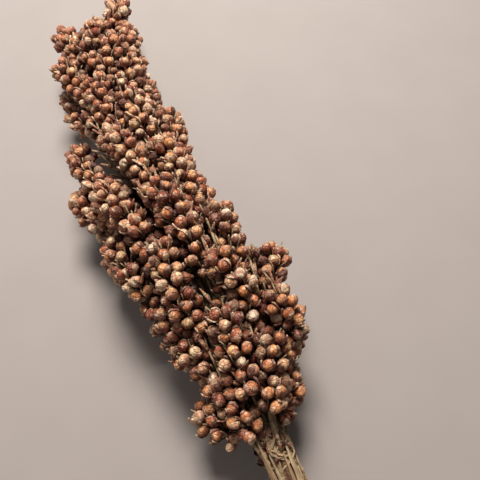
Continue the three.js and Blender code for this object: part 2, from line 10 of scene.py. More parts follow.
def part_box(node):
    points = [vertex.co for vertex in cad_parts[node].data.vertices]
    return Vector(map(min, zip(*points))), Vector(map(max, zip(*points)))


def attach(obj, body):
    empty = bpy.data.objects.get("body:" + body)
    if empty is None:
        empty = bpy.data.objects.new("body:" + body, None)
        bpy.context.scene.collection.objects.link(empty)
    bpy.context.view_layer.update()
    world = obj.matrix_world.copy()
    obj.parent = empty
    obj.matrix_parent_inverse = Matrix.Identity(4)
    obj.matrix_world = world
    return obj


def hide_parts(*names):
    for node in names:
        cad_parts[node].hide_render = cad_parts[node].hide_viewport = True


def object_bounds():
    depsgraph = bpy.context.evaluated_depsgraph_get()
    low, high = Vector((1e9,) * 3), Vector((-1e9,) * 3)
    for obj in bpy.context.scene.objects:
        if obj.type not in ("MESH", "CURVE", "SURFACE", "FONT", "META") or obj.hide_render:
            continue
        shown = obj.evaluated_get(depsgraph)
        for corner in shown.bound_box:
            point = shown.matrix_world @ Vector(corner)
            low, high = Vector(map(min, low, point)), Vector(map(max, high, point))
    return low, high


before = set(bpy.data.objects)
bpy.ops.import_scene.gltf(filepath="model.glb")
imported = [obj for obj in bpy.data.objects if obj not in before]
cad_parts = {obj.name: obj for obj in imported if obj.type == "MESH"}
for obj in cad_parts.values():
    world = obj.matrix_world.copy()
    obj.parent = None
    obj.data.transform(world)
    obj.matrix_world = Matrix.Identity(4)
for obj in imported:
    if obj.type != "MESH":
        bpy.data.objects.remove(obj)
cad_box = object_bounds()

MM = 0.001

# the head's layout, the same rule as its solids follow, in millimetres

HEAD_LENGTH = 215
STALK_BELOW = 78
STALK_RADIUS = 4.7
GRAIN_RADIUS = 2.1
RING_RADIUS = 4.5
BRANCH_RADIUS = RING_RADIUS + 0.85 * GRAIN_RADIUS
FOOT_RADIUS = 0.95
BRANCHES = 45
GOLDEN_ANGLE = 2.399963
BEADS = 9
BARE_BEADS = 3


def hold(value, low=0, high=1):
    """The value, or the limit that it is past."""
    return min(max(value, low), high)


class Draws:
    """Numbers between 0 and 1, in an order that the seed alone settles."""

    def __init__(self, seed):
        self.state = seed

    def next(self):
        self.state = (self.state * 16807) % 2147483647
        return self.state / 2147483647

    def spread(self, half):
        return (2 * self.next() - 1) * half


layout_draws = Draws(90210)


def smooth_table(rows):
    """A smooth line through rows of (place, value, ...), as a function of place."""

    def slope(k, column):
        before = rows[max(k - 1, 0)]
        after = rows[min(k + 1, len(rows) - 1)]
        return (after[column] - before[column]) / (after[0] - before[0])

    def values_at(place):
        at = hold(place, rows[0][0], rows[-1][0])
        k = 0
        while k < len(rows) - 2 and at > rows[k + 1][0]:
            k += 1
        width = rows[k + 1][0] - rows[k][0]
        t = (at - rows[k][0]) / width
        values = []
        for column in range(1, len(rows[0])):
            rise = width * slope(k, column)
            fall = width * slope(k + 1, column)
            values.append(
                (2 * t**3 - 3 * t**2 + 1) * rows[k][column]
                + (t**3 - 2 * t**2 + t) * rise
                + (3 * t**2 - 2 * t**3) * rows[k + 1][column]
                + (t**3 - t**2) * fall
            )
        return values

    return values_at


# the stalk's line: y, then x, z and radius
stalk_table = smooth_table(
    [
        (-STALK_BELOW, 8, STALK_RADIUS, STALK_RADIUS),
        (-40, 4.5, 7.5, STALK_RADIUS),
        (0, 0, 14, 4.9),
        (25, -2.2, 18.5, 4.4),
        (45, -2.6, 21, 4),
        (62, -4.8, 22.7, 3.6),
        (92, -7, 24, 3),
        (122, -12, 23, 2.4),
        (147, -13.5, 22, 2),
        (186, -9, 20.5, 1.4),
        (202, -4.5, 20, 1.1),
        (HEAD_LENGTH, 0, 19.5, 0.8),
    ]
)

# how far the head reaches from the stalk: y, then left, right and up
reach_table = smooth_table(
    [
        (0, 8, 7, 8),
        (13, 14, 8, 13),
        (30, 15, 31, 18),
        (50, 20, 32, 23),
        (70, 28, 26, 25),
        (81, 30, 21, 25),
        (93, 30, 17, 25),
        (106, 25, 17, 24),
        (118, 18, 19, 24),
        (130, 17, 22, 22),
        (145, 22, 17, 19),
        (165, 28, 17, 18),
        (185, 25, 14, 17),
        (200, 17, 7, 11),
        (HEAD_LENGTH, 6, 5, 6),
    ]
)

# how long a branch is, by where its end stands
branch_length = smooth_table([(10, 10), (30, 24), (60, 42), (100, 52), (150, 44), (205, 24)])


def reach_at(y, angle):
    left, right, up = reach_table(y)
    across = math.cos(angle) / (right if math.cos(angle) > 0 else left)
    along = math.sin(angle) / up
    return 1 / math.sqrt(across * across + along * along)


# foot, end, angle in quarter turns, how far out, how stiff, girth
hand_placed = [
    (190, 213, 2, 0.5, 1, 1),
    (182, 198, 1.9, 10, 0.6, 0.9),
    (166, 198, 1.95, 21, 0.7, 1.03),
    (152, 189, 2.05, 17.5, 0.7, 1),
    (138, 173, 1.9, 19, 0.7, 1),
    (84, 133, 1.95, 19, 0.95, 0.82),
    (80, 120, 2.2, 25, 0.8, 0.85),
    (76, 113, 2.05, 25, 0.8, 0.9),
    (68, 100, 1.95, 20, 0.75, 0.95),
    (52, 83, 2.1, 25, 0.75, 0.95),
    (28, 60, 1.85, 14, 0.8, 0.95),
    (32, 70, 2.3, 15, 0.5, 0.9),
    (6, 26, 2.05, 4, 0.5, 0.9),
    (32, 62, 0.05, 23, 0.5, 1),
]

LOWEST_END = 21
HIGHEST_END = 197


ROW_NAMES = ("foot", "end", "angle", "out", "stiff", "girth")


def branch_rows():
    rows = [dict(zip(ROW_NAMES, by_hand)) for by_hand in hand_placed]
    for row in rows:
        row["angle"] *= math.pi / 2
    spread = layout_draws.spread
    for k in range(BRANCHES):
        share = (k + 0.5) / BRANCHES
        end = LOWEST_END + (HIGHEST_END - LOWEST_END) * (share * 0.85 + share * share * 0.15)
        (length,) = branch_length(end)
        foot = max(end - length + spread(2), 1 + 3 * layout_draws.next())
        angle = k * GOLDEN_ANGLE
        by_rule = (foot, end + spread(2), angle + spread(0.12), None, 0, 0.95 + spread(0.1))
        rows.append(dict(zip(ROW_NAMES, by_rule)))
    return rows


def bead_room(b, girth):
    if b < BARE_BEADS:
        return FOOT_RADIUS + 0.4 * b
    return girth * [3.9, 5.4, BRANCH_RADIUS][min(b - BARE_BEADS, 2)]


def first_beads(row):
    """The beads of a branch before it settles: place, room and how freely each moves."""
    out = row["out"]
    if out is None:
        out = max(reach_at(row["end"], row["angle"]) - row["girth"] * BRANCH_RADIUS, 1)
    beads = []
    for b in range(BEADS):
        t = b / (BEADS - 1)
        y = row["foot"] + (row["end"] - row["foot"]) * t
        x, z, radius = stalk_table(y)
        away = radius * 0.6 * (1 - t) + out * (1 - (1 - t) ** 1.7)
        room = bead_room(b, row["girth"])
        x += away * math.cos(row["angle"])
        z = max(z + away * math.sin(row["angle"]), room)
        beads.append((x, y, z, room, 1 - 0.75 * row["stiff"] if b > 0 else 0))
    return beads


# open places in the head: x and y at the stalk's height, radius, lowest z
openings = [
    (-26.6, 126, 3.5, -50),
    (-24, 117, 3.5, -50),
    (-21, 107, 1, -50),
    (-10.5, 50, 2, 17),
    (-9.5, 42, 2, 17),
]
OPENING_HEIGHT = 24
OPENING_EYE = (-15.9, -7, 189.5)
TIP_LENGTH = 22
STALK_HOLD = 0.62
ROUNDS = 90
HOME_PULL = 0.03
KEEP_BACK = 0.6
SMOOTHING = 0.2
TOUCHING = 1e-6


def keep_off_stalk(p, room_of_bead, b):
    if b < 2:
        return
    x, z, radius = stalk_table(p[1])
    room = radius + (room_of_bead if b < BARE_BEADS else STALK_HOLD * room_of_bead + 0.5)
    dx, dz = p[0] - x, p[2] - z
    away = math.sqrt(dx * dx + dz * dz)
    if away >= room or away < TOUCHING or p[1] > HEAD_LENGTH - TIP_LENGTH:
        return
    p[0] += (dx / away) * (room - away)
    p[2] += (dz / away) * (room - away)


def keep_in_head(p, room_of_bead, free, b):
    if b < BARE_BEADS or free < 0.9:
        return
    x, z, _ = stalk_table(p[1])
    dx, dz = p[0] - x, p[2] - z
    away = math.sqrt(dx * dx + dz * dz)
    limit = max(reach_at(p[1], math.atan2(dz, dx)) - room_of_bead, 0.5)
    if away <= limit:
        return
    back = KEEP_BACK * (away - limit)
    p[0] -= (dx / away) * back
    p[2] -= (dz / away) * back


def keep_out_of_openings(p, room_of_bead, b):
    if b < BARE_BEADS:
        return
    for x, y, radius, low in openings:
        if p[2] < low:
            continue
        rise = (p[2] - OPENING_HEIGHT) / (OPENING_EYE[2] - OPENING_HEIGHT)
        dx = p[0] - (x + rise * (OPENING_EYE[0] - x))
        dy = p[1] - (y + rise * (OPENING_EYE[1] - y))
        room = radius + room_of_bead
        if dx * dx + dy * dy >= room * room:
            continue
        beside = math.copysign(math.sqrt(room * room - dy * dy), dx)
        p[0] += KEEP_BACK * (beside - dx)


def settle(all_beads):
    """Branches lie beside each other: beads that press into each other move apart."""
    count = len(all_beads)
    places = np.array([[bead[:3] for bead in beads] for beads in all_beads]).reshape(-1, 3)
    rooms = np.array([[bead[3] for bead in beads] for beads in all_beads]).reshape(-1)
    free = np.array([[bead[4] for bead in beads] for beads in all_beads]).reshape(-1)
    owner = np.repeat(np.arange(count), BEADS)
    start = places.copy()
    spans = np.linalg.norm(np.diff(places.reshape(count, BEADS, 3), axis=1), axis=2)
    first, second = np.triu_indices(len(places), 1)
    apart_owners = (owner[first] != owner[second]) & (free[first] + free[second] > 0)
    first, second = first[apart_owners], second[apart_owners]
    room = rooms[first] + rooms[second]
    share = free[first] + free[second]
    for _ in range(ROUNDS):
        gap = places[first] - places[second]
        near = np.abs(gap[:, 1]) <= room
        apart = np.sqrt((gap**2).sum(axis=1))
        near &= (apart < room) & (apart >= TOUCHING)
        i, j = first[near], second[near]
        push = (0.5 * (room[near] - apart[near]) / apart[near] / share[near])[:, None] * gap[near]
        moves = np.zeros_like(places)
        np.add.at(moves, i, push * free[i][:, None])
        np.add.at(moves, j, -push * free[j][:, None])
        met = np.bincount(i, minlength=len(places)) + np.bincount(j, minlength=len(places))
        ease = 1 / np.maximum(1, 0.6 * met)
        moved = places + moves * ease[:, None] + HOME_PULL * (start - places)
        for n in range(len(places)):
            b = n % BEADS
            if b == 0:
                continue
            p = moved[n].tolist()
            keep_off_stalk(p, rooms[n], b)
            keep_in_head(p, rooms[n], free[n], b)
            keep_out_of_openings(p, rooms[n], b)
            p[2] = max(p[2], rooms[n])
            places[n] = p
        lines = places.reshape(count, BEADS, 3)
        middles = 0.5 * (lines[:, 1:-2] + lines[:, 3:])
        lines[:, 2:-1] += SMOOTHING * (middles - lines[:, 2:-1])
        for b in range(1, BEADS):
            step = lines[:, b] - lines[:, b - 1]
            length = np.maximum(np.linalg.norm(step, axis=1), TOUCHING)
            lines[:, b] = lines[:, b - 1] + step * (spans[:, b - 1] / length)[:, None]
        places = lines.reshape(-1, 3)
    return places.reshape(count, BEADS, 3), rooms.reshape(count, BEADS)


ROW_STEP = 4.2
GRAIN_PITCH = 4.65
TIP_AHEAD = 4.4
DOME_AHEAD = 2.4
DOME_AWAY = 0.9
FIRST_ROW = 1.3
LAST_ROOM = 0.62
SEEN_LOOKS = 3
LOOKS = 8
DENSE_SHARE = 0.85


def line_at(beads, rooms, back):
    """Point, direction and room of a branch's line, a distance back from its end."""
    left = max(back, 0)
    for b in range(len(beads) - 1, 0, -1):
        span = np.linalg.norm(beads[b] - beads[b - 1])
        if left <= span or b == 1:
            share = left / span
            point = beads[b] + (beads[b - 1] - beads[b]) * share
            along = (beads[b] - beads[b - 1]) / span
            return point, along, rooms[b] + (rooms[b - 1] - rooms[b]) * share
        left -= span


UP = np.array([0.0, 0.0, 1.0])


def unit(v):
    return v / np.linalg.norm(v)


class Spray:
    """One branch with its grains: the end grain and rows of them round the branch's line."""

    def __init__(self, number, beads, rooms, girth, blockers):
        self.number = number
        self.beads = beads
        self.rooms = rooms
        self.girth = girth
        self.blockers = blockers
        self.side = UP
        self.count = max(int(2 * math.pi * RING_RADIUS * girth / GRAIN_PITCH + 0.5), 4)
        spread = layout_draws.spread
        end = line_at(beads, rooms, 0)
        self.turn_to(end[1])
        self.tip = self.grain_at(end, TIP_AHEAD * girth + spread(0.4), 0, 0)
        first = spread(math.pi)
        self.rows = []
        i = 0
        while True:
            place = line_at(beads, rooms, 0 if i == 0 else FIRST_ROW + (i - 1) * ROW_STEP)
            if i > 1 and place[2] < LAST_ROOM * BRANCH_RADIUS * girth:
                break
            self.turn_to(place[1])
            away = RING_RADIUS * (place[2] / BRANCH_RADIUS) * (DOME_AWAY if i == 0 else 1 + spread(0.08))
            ahead = DOME_AHEAD * girth if i == 0 else 0
            row = []
            for k in range(self.count):
                turn = first + ((k + 0.5 * (i % 2)) * 2 * math.pi) / self.count + spread(0.16)
                this_ahead = ahead + spread(0.4 if i == 0 else 0.8)
                row.append(self.grain_at(place, this_ahead, away + spread(0.5), turn))
            self.rows.append(row)
            i += 1
        while len(self.rows) > 2 and all(grain["open"] < SEEN_LOOKS for grain in self.rows[-1]):
            self.rows.pop()

    def turn_to(self, along):
        self.side = unit(self.side - along * np.dot(along, self.side))

    def grain_at(self, place, ahead, away, turn):
        point, along, _ = place
        across = np.cross(along, self.side)
        out = self.side * (away * math.cos(turn)) + across * (away * math.sin(turn))
        middle = point + along * ahead + out
        out = unit(out + along * (max(ahead, 0) + 0.2 * away + 0.01))
        return {
            "axis": point,
            "along": along,
            "middle": middle,
            "start": middle.copy(),
            "out": out,
            "open": self.open_looks(middle, out),
        }

    def open_looks(self, place, out):
        """How many lines of sight out of the head are open, past the other branches."""
        side = UP if abs(out[2]) < 0.9 else np.array([1.0, 0.0, 0.0])
        right = unit(np.cross(side, out))
        up = np.cross(out, right)
        rays = []
        for k in range(LOOKS):
            turn = 2 * math.pi * k / LOOKS
            lean = 0.35 if k % 2 == 0 else 0.9
            rays.append(unit(out + right * (lean * math.cos(turn)) + up * (lean * math.sin(turn))))
        centres, radii = self.blockers
        to = centres - place
        ahead = to @ np.array(rays).T
        beside = (to**2).sum(axis=1)[:, None] - ahead**2
        blocked = ((ahead >= 0) & (beside < ((radii * DENSE_SHARE) ** 2)[:, None])).any(axis=0)
        return int(LOOKS - blocked.sum())

    def grains(self):
        return [self.tip] + [grain for row in self.rows for grain in row]


GRAIN_ROOM = 3.95
LONGEST_SHIFT = 1.3
SPACING_ROUNDS = 10


def space_out(grains):
    """Grains that would sit in each other move apart a little."""
    start = np.array([grain["start"] for grain in grains])
    middles = start.copy()
    for _ in range(SPACING_ROUNDS):
        gap = middles[:, None] - middles[None]
        apart = np.sqrt((gap**2).sum(axis=2))
        near = (apart < GRAIN_ROOM) & (apart >= TOUCHING)
        push = np.where(near, 0.4 * (GRAIN_ROOM - apart) / np.maximum(apart, TOUCHING), 0)
        shift = middles + (gap * push[:, :, None]).sum(axis=1) - start
        length = np.linalg.norm(shift, axis=1)
        shift *= (np.minimum(length, LONGEST_SHIFT) / np.maximum(length, TOUCHING))[:, None]
        middles = start + shift
        middles[:, 2] = np.maximum(middles[:, 2], GRAIN_RADIUS)
    for grain, middle in zip(grains, middles):
        grain["middle"] = middle


def lay_out_head():
    rows = branch_rows()
    lines, rooms = settle([first_beads(row) for row in rows])
    sprays = []
    for number, row in enumerate(rows):
        others = [n for n in range(len(rows)) if n != number]
        blockers = (lines[others, BARE_BEADS:].reshape(-1, 3), rooms[others, BARE_BEADS:].reshape(-1))
        sprays.append(Spray(number, lines[number], rooms[number], row["girth"], blockers))
    space_out([grain for spray in sprays for grain in spray.grains() if grain["open"] >= SEEN_LOOKS])
    return sprays


sprays = lay_out_head()


# the solid stalk: how many sides it has, and where its second ring stands
SOLID_SIDES = 10
SOLID_SECOND_RING = -55


def stalk_middle(y):
    """The point of the stalk's line at a height."""
    x, z, _ = stalk_table(y)
    return np.array([x, y, z])


def square_to(along):
    """Two directions square to a line: the one that faces up most, and the one beside it."""
    side = unit(UP - along * along[2])
    return side, np.cross(along, side)


def cut_end_corner():
    """The stalk's cut end as its solid has it: highest x and lowest y in the layout's place."""
    end = stalk_middle(-STALK_BELOW)
    side, across = square_to(unit(stalk_middle(SOLID_SECOND_RING) - end))
    turns = [2 * math.pi * s / SOLID_SIDES for s in range(SOLID_SIDES)]
    ring = [end + STALK_RADIUS * (side * math.cos(t) + across * math.sin(t)) for t in turns]
    return max(p[0] for p in ring), min(p[1] for p in ring)


def frame_shift():
    low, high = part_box("stalk")
    highest_x, lowest_y = cut_end_corner()
    return Vector((high[0] - highest_x * MM, low[1] - lowest_y * MM, 0))


SHIFT = frame_shift()


def placed(p):
    """A place of the layout, in the part's own frame."""
    return Vector((p[0] * MM, p[1] * MM, p[2] * MM)) + SHIFT


# helpers for the materials

FLOAT = "NodeSocketFloat"
COLOUR = "NodeSocketColor"
VECTOR = "NodeSocketVector"


def paint(red, green, blue):
    """A colour as seen on screen, 0 to 255, as the linear values that a shader takes."""

    def linear(value):
        share = value / 255
        return share / 12.92 if share <= 0.04045 else ((share + 0.055) / 1.055) ** 2.4

    return (linear(red), linear(green), linear(blue), 1.0)


def add_node(tree, kind, inputs=None, **settings):
    """A node with its settings; each input takes a value or another node's output."""
    made = tree.nodes.new(kind)
    for name, value in settings.items():
        setattr(made, name, value)
    for name, value in (inputs or {}).items():
        if isinstance(value, bpy.types.NodeSocket):
            tree.links.new(value, made.inputs[name])
        else:
            made.inputs[name].default_value = value
    return made


def use_group(tree, group, inputs):
    return add_node(tree, "ShaderNodeGroup", inputs, node_tree=group).outputs


def mix_colours(tree, factor, first, second, blend="MIX"):
    settings = {"data_type": "RGBA", "blend_type": blend}
    return add_node(tree, "ShaderNodeMix", {0: factor, 6: first, 7: second}, **settings).outputs[2]


def maths(tree, operation, first, second, clamp=False):
    made = add_node(tree, "ShaderNodeMath", {0: first, 1: second}, operation=operation, use_clamp=clamp)
    return made.outputs[0]


def lay_over(tree, colour, shade, mask, amount):
    """A colour with a shade laid over it where a mask is high, as strongly as the amount says."""
    return mix_colours(tree, maths(tree, "MULTIPLY", mask, amount), colour, paint(*shade))


def spread_range(tree, value, low, high, to_low=0.0, to_high=1.0):
    inputs = {"Value": value, "From Min": low, "From Max": high, "To Min": to_low, "To Max": to_high}
    return add_node(tree, "ShaderNodeMapRange", inputs, interpolation_type="SMOOTHSTEP").outputs[0]


def noise(tree, place, scale, detail, roughness):
    inputs = {"Vector": place, "Scale": scale, "Detail": detail, "Roughness": roughness}
    return add_node(tree, "ShaderNodeTexNoise", inputs).outputs["Fac"]


def colour_ramp(tree, factor, stops):
    """Colours along a factor, from stops of place and colour."""
    made = add_node(tree, "ShaderNodeValToRGB", {"Fac": factor})
    elements = made.color_ramp.elements
    while len(elements) < len(stops):
        elements.new(0.5)
    for element, (place, colour) in zip(elements, stops):
        element.position = place
        element.color = paint(*colour)
    return made.outputs["Color"]


def attribute(tree, name):
    return add_node(tree, "ShaderNodeAttribute", attribute_name=name).outputs["Fac"]


def object_place(tree):
    return add_node(tree, "ShaderNodeTexCoord").outputs["Object"]


def new_group(name, inputs, outputs):
    """A node group, from its inputs' names, kinds and first values and its outputs' names and kinds."""
    group = bpy.data.node_groups.new(name, "ShaderNodeTree")
    for socket, kind, value in inputs:
        made = group.interface.new_socket(name=socket, in_out="INPUT", socket_type=kind)
        if value is not None:
            made.default_value = value
    for socket, kind in outputs:
        group.interface.new_socket(name=socket, in_out="OUTPUT", socket_type=kind)
    start = group.nodes.new("NodeGroupInput").outputs
    end = group.nodes.new("NodeGroupOutput").inputs
    return group, start, end


# how far the paler patches lie from the blotches, so that the two don't follow each other
PATCHES_ASIDE = (0.31, 0.17, 0.23)


def dry_mottle_group():
    """Blotches, paler patches, specks, creases and a relief that every dry part of the plant has."""
    inputs = [
        ("Place", VECTOR, None),
        ("Blotch Scale", FLOAT, 700.0),
        ("Speck Scale", FLOAT, 2600.0),
        ("Speck Amount", FLOAT, 0.4),
    ]
    names = ("Blotch", "Patch", "Speck", "Crease", "Relief")
    group, start, end = new_group("dry_mottle", inputs, [(name, FLOAT) for name in names])
    place = start["Place"]
    scale = start["Blotch Scale"]
    aside = {0: place, 1: PATCHES_ASIDE}
    aside = add_node(group, "ShaderNodeVectorMath", aside, operation="ADD").outputs[0]
    blotch = noise(group, place, scale, 2.0, 0.6)
    patch = noise(group, aside, maths(group, "MULTIPLY", scale, 1.5), 2.0, 0.5)
    grit = noise(group, place, start["Speck Scale"], 2.0, 0.7)
    cells = {"Vector": aside, "Scale": scale}
    edge = add_node(group, "ShaderNodeTexVoronoi", cells, feature="DISTANCE_TO_EDGE").outputs["Distance"]
    crease = maths(group, "MULTIPLY", spread_range(group, edge, 0.16, 0.0), patch)
    speck = maths(group, "MULTIPLY", spread_range(group, grit, 0.56, 0.7), start["Speck Amount"])
    swell = maths(group, "ADD", blotch, maths(group, "MULTIPLY", grit, 0.5))
    group.links.new(spread_range(group, blotch, 0.36, 0.64), end["Blotch"])
    group.links.new(spread_range(group, patch, 0.48, 0.68), end["Patch"])
    group.links.new(speck, end["Speck"])
    group.links.new(crease, end["Crease"])
    group.links.new(maths(group, "SUBTRACT", swell, crease), end["Relief"])
    return group


def fibre_group():
    """Streaks along a stem or a husk, from how far round and how far along each point stands."""
    first_values = {"Across": 0.0, "Along": 0.0, "Streaks": 12.0, "Length": 1.0, "Offset": 0.0}
    inputs = [(name, FLOAT, value) for name, value in first_values.items()]
    group, start, end = new_group("fibre_streaks", inputs, [("Streak", FLOAT), ("Relief", FLOAT)])
    across = maths(group, "MULTIPLY", start["Across"], start["Streaks"])
    along = maths(group, "MULTIPLY", start["Along"], start["Length"])
    place = add_node(group, "ShaderNodeCombineXYZ", {0: across, 1: along, 2: start["Offset"]}).outputs[0]
    streak = noise(group, place, 1.0, 4.0, 0.65)
    group.links.new(spread_range(group, streak, 0.35, 0.65), end["Streak"])
    group.links.new(streak, end["Relief"])
    return group


# the colour that painted shade between the grains multiplies in
PAINTED_SHADE_TINT = (94, 38, 20)


def hollow_shade_group():
    """Painted shade that darkens what stands deep between the grains."""
    inputs = [("Colour", COLOUR, None), ("Inside", FLOAT, 0.0)]
    group, start, end = new_group("hollow_shade", inputs, [("Colour", COLOUR)])
    # the colour under full painted shade
    stained = mix_colours(group, 1.0, start["Colour"], paint(*PAINTED_SHADE_TINT), "MULTIPLY")
    shaded = mix_colours(group, start["Inside"], start["Colour"], stained)
    group.links.new(shaded, end["Colour"])
    return group


DRY_MOTTLE = dry_mottle_group()
FIBRE = fibre_group()
HOLLOW_SHADE = hollow_shade_group()


def dry_mottle(tree, blotch_scale, speck_amount, speck_scale=2600.0):
    inputs = {"Place": object_place(tree), "Blotch Scale": blotch_scale}
    inputs.update({"Speck Scale": speck_scale, "Speck Amount": speck_amount})
    return use_group(tree, DRY_MOTTLE, inputs)


def new_material(name):
    material = bpy.data.materials.new(name)
    material.use_nodes = True
    tree = material.node_tree
    return material, tree, tree.nodes["Principled BSDF"]


def finish_surface(tree, surface, colour, roughness, relief, depth):
    """Colour with painted shade laid over it from the inside layer, roughness and a bump of a depth in
    metres, on a Principled surface.
    """
    inside = attribute(tree, "inside")
    # painted shade, as much as the inside layer says
    shaded = use_group(tree, HOLLOW_SHADE, {"Colour": colour, "Inside": inside})["Colour"]
    tree.links.new(shaded, surface.inputs["Base Color"])
    tree.links.new(roughness, surface.inputs["Roughness"])
    bump = add_node(tree, "ShaderNodeBump", {"Height": relief, "Strength": 1.0, "Distance": depth})
    tree.links.new(bump.outputs["Normal"], surface.inputs["Normal"])


# materials

RELIEF_DEPTH = 0.3 * MM
HUSK_RELIEF_DEPTH = 0.28 * MM

# colours from a tint of 0 to a tint of 1
GRAIN_COLOURS = [
    (0.0, (116, 52, 38)),
    (0.18, (166, 88, 50)),
    (0.4, (198, 130, 80)),
    (0.62, (216, 158, 98)),
    (0.8, (224, 190, 150)),
    (0.9, (196, 172, 122)),
    (1.0, (226, 204, 178)),
]
HUSK_COLOURS = [
    (0.0, (64, 20, 18)),
    (0.22, (90, 34, 30)),
    (0.45, (138, 68, 54)),
    (0.68, (180, 114, 80)),
    (0.86, (208, 166, 132)),
    (1.0, (232, 206, 172)),
]


def grain_skin():
    """The grain's seed coat: tan, ochre or rust in patches, with painted shade at its base and a dark scar at
    its tip.
    """
    material, tree, surface = new_material("grain_skin")
    height = attribute(tree, "height")
    mottle = dry_mottle(tree, 560.0, 0.55)
    coat = colour_ramp(tree, attribute(tree, "tint"), GRAIN_COLOURS)
    rust = mix_colours(tree, 1.0, coat, paint(186, 112, 84), "MULTIPLY")
    coat = mix_colours(tree, maths(tree, "MULTIPLY", mottle["Blotch"], 0.75), coat, rust)
    coat = lay_over(tree, coat, (226, 200, 172), mottle["Patch"], 0.55)
    coat = lay_over(tree, coat, (96, 50, 38), mottle["Crease"], 0.9)
    # painted shade at the grain's base, where its husks and neighbours shade it
    base_painted_shade = spread_range(tree, height, 0.2, 0.8, 0.9, 0.0)
    coat = mix_colours(tree, base_painted_shade, coat, paint(88, 34, 18))
    coat = mix_colours(tree, mottle["Speck"], coat, paint(110, 56, 40))
    scar = spread_range(tree, height, 0.982, 0.996)
    coat = lay_over(tree, coat, (52, 26, 20), scar, attribute(tree, "scar"))
    rough = spread_range(tree, mottle["Blotch"], 0.0, 1.0, 0.34, 0.55)
    surface.inputs["Specular IOR Level"].default_value = 0.38
    finish_surface(tree, surface, coat, rough, mottle["Relief"], RELIEF_DEPTH)
    return material


def husk_skin():
    """The papery husks: purple brown to pinkish straw in streaks, with painted shade along their rims and
    pale dry tips.
    """
    material, tree, surface = new_material("husk_skin")
    tint = attribute(tree, "tint")
    height = attribute(tree, "height")
    mottle = dry_mottle(tree, 640.0, 0.5)
    streaks = {"Across": attribute(tree, "across"), "Along": height, "Streaks": 6.0, "Offset": tint}
    fibre = use_group(tree, FIBRE, streaks)
    stray = maths(tree, "MULTIPLY", maths(tree, "SUBTRACT", mottle["Blotch"], 0.5), 0.42)
    husk = colour_ramp(tree, maths(tree, "SUBTRACT", tint, stray, clamp=True), HUSK_COLOURS)
    husk = lay_over(tree, husk, (188, 140, 114), fibre["Streak"], 0.4)
    husk = lay_over(tree, husk, (204, 164, 138), mottle["Patch"], 0.4)
    husk = lay_over(tree, husk, (58, 30, 30), mottle["Crease"], 0.9)
    # painted shade along the rim, for the shadow in the gap between husk and grain
    rim = spread_range(tree, attribute(tree, "margin"), 0.6, 0.0)
    rim = maths(tree, "MULTIPLY", rim, maths(tree, "SUBTRACT", 1.1, tint))
    husk = mix_colours(tree, maths(tree, "MULTIPLY", rim, 0.85, clamp=True), husk, paint(66, 26, 28))
    dry = maths(tree, "ADD", mottle["Patch"], 0.35)
    pale = maths(tree, "MULTIPLY", spread_range(tree, height, 0.74, 1.0), dry, clamp=True)
    husk = lay_over(tree, husk, (220, 190, 160), pale, 0.85)
    husk = mix_colours(tree, mottle["Speck"], husk, paint(74, 38, 34))
    foot = spread_range(tree, height, 0.3, 0.0, 0.0, 0.8)
    husk = mix_colours(tree, foot, husk, paint(70, 38, 32))
    rough = spread_range(tree, fibre["Streak"], 0.0, 1.0, 0.45, 0.62)
    surface.inputs["Specular IOR Level"].default_value = 0.22
    relief = maths(tree, "ADD", mottle["Relief"], fibre["Relief"])
    finish_surface(tree, surface, husk, rough, relief, HUSK_RELIEF_DEPTH)
    return material


STRAW_STREAKS = 3.0
STRAW_LENGTH = 6.0


def straw_skin():
    """Dry straw: fibrous streaks along it, olive in places, stained brown in long patches."""
    material, tree, surface = new_material("twig_straw")
    tint = attribute(tree, "tint")
    mottle = dry_mottle(tree, 130.0, 0.3)
    way = {"Across": attribute(tree, "across"), "Along": attribute(tree, "height")}
    streaks = {"Streaks": STRAW_STREAKS, "Length": STRAW_LENGTH, "Offset": tint}
    fibre = use_group(tree, FIBRE, {**way, **streaks})
    patches = {"Streaks": 0.4 * STRAW_STREAKS, "Length": 0.5 * STRAW_LENGTH, "Offset": 7.0}
    stain = use_group(tree, FIBRE, {**way, **patches})["Streak"]
    straw = mix_colours(tree, fibre["Streak"], paint(150, 122, 84), paint(214, 192, 152))
    straw = lay_over(tree, straw, (134, 120, 78), mottle["Blotch"], 0.4)
    straw = lay_over(tree, straw, (126, 86, 58), tint, 0.55)
    straw = lay_over(tree, straw, (88, 54, 36), stain, 0.25)
    straw = mix_colours(tree, mottle["Speck"], straw, paint(78, 48, 32))
    rough = spread_range(tree, fibre["Streak"], 0.0, 1.0, 0.62, 0.45)
    relief = maths(tree, "ADD", mottle["Relief"], maths(tree, "MULTIPLY", fibre["Relief"], 2.0))
    finish_surface(tree, surface, straw, rough, relief, RELIEF_DEPTH)
    return material


def pith_skin():
    """The stalk's pale, spongy finish, which its skin wears as well as its cut end."""
    material, tree, surface = new_material("stalk_pith")
    mottle = dry_mottle(tree, 900.0, 0.8, 1500.0)
    pith = mix_colours(tree, mottle["Blotch"], paint(214, 196, 158), paint(182, 156, 112))
    pith = mix_colours(tree, mottle["Speck"], pith, paint(120, 86, 54))
    rough = spread_range(tree, mottle["Blotch"], 0.0, 1.0, 0.85, 0.95)
    finish_surface(tree, surface, pith, rough, mottle["Relief"], RELIEF_DEPTH)
    return material


GRAIN_SKIN = grain_skin()
HUSK_SKIN = husk_skin()
TWIG_SKIN = straw_skin()
PITH_SKIN = pith_skin()


# patterns that repeat over the head, each made once

# the inside layer holds how much painted shade each point takes
LAYERS = ("tint", "height", "margin", "across", "scar", "inside")


def new_mesh():
    bm = bmesh.new()
    for name in LAYERS:
        bm.verts.layers.float.new(name)
    return bm


def layers_of(bm, *names):
    """The point layers of those names."""
    return [bm.verts.layers.float[name] for name in names]


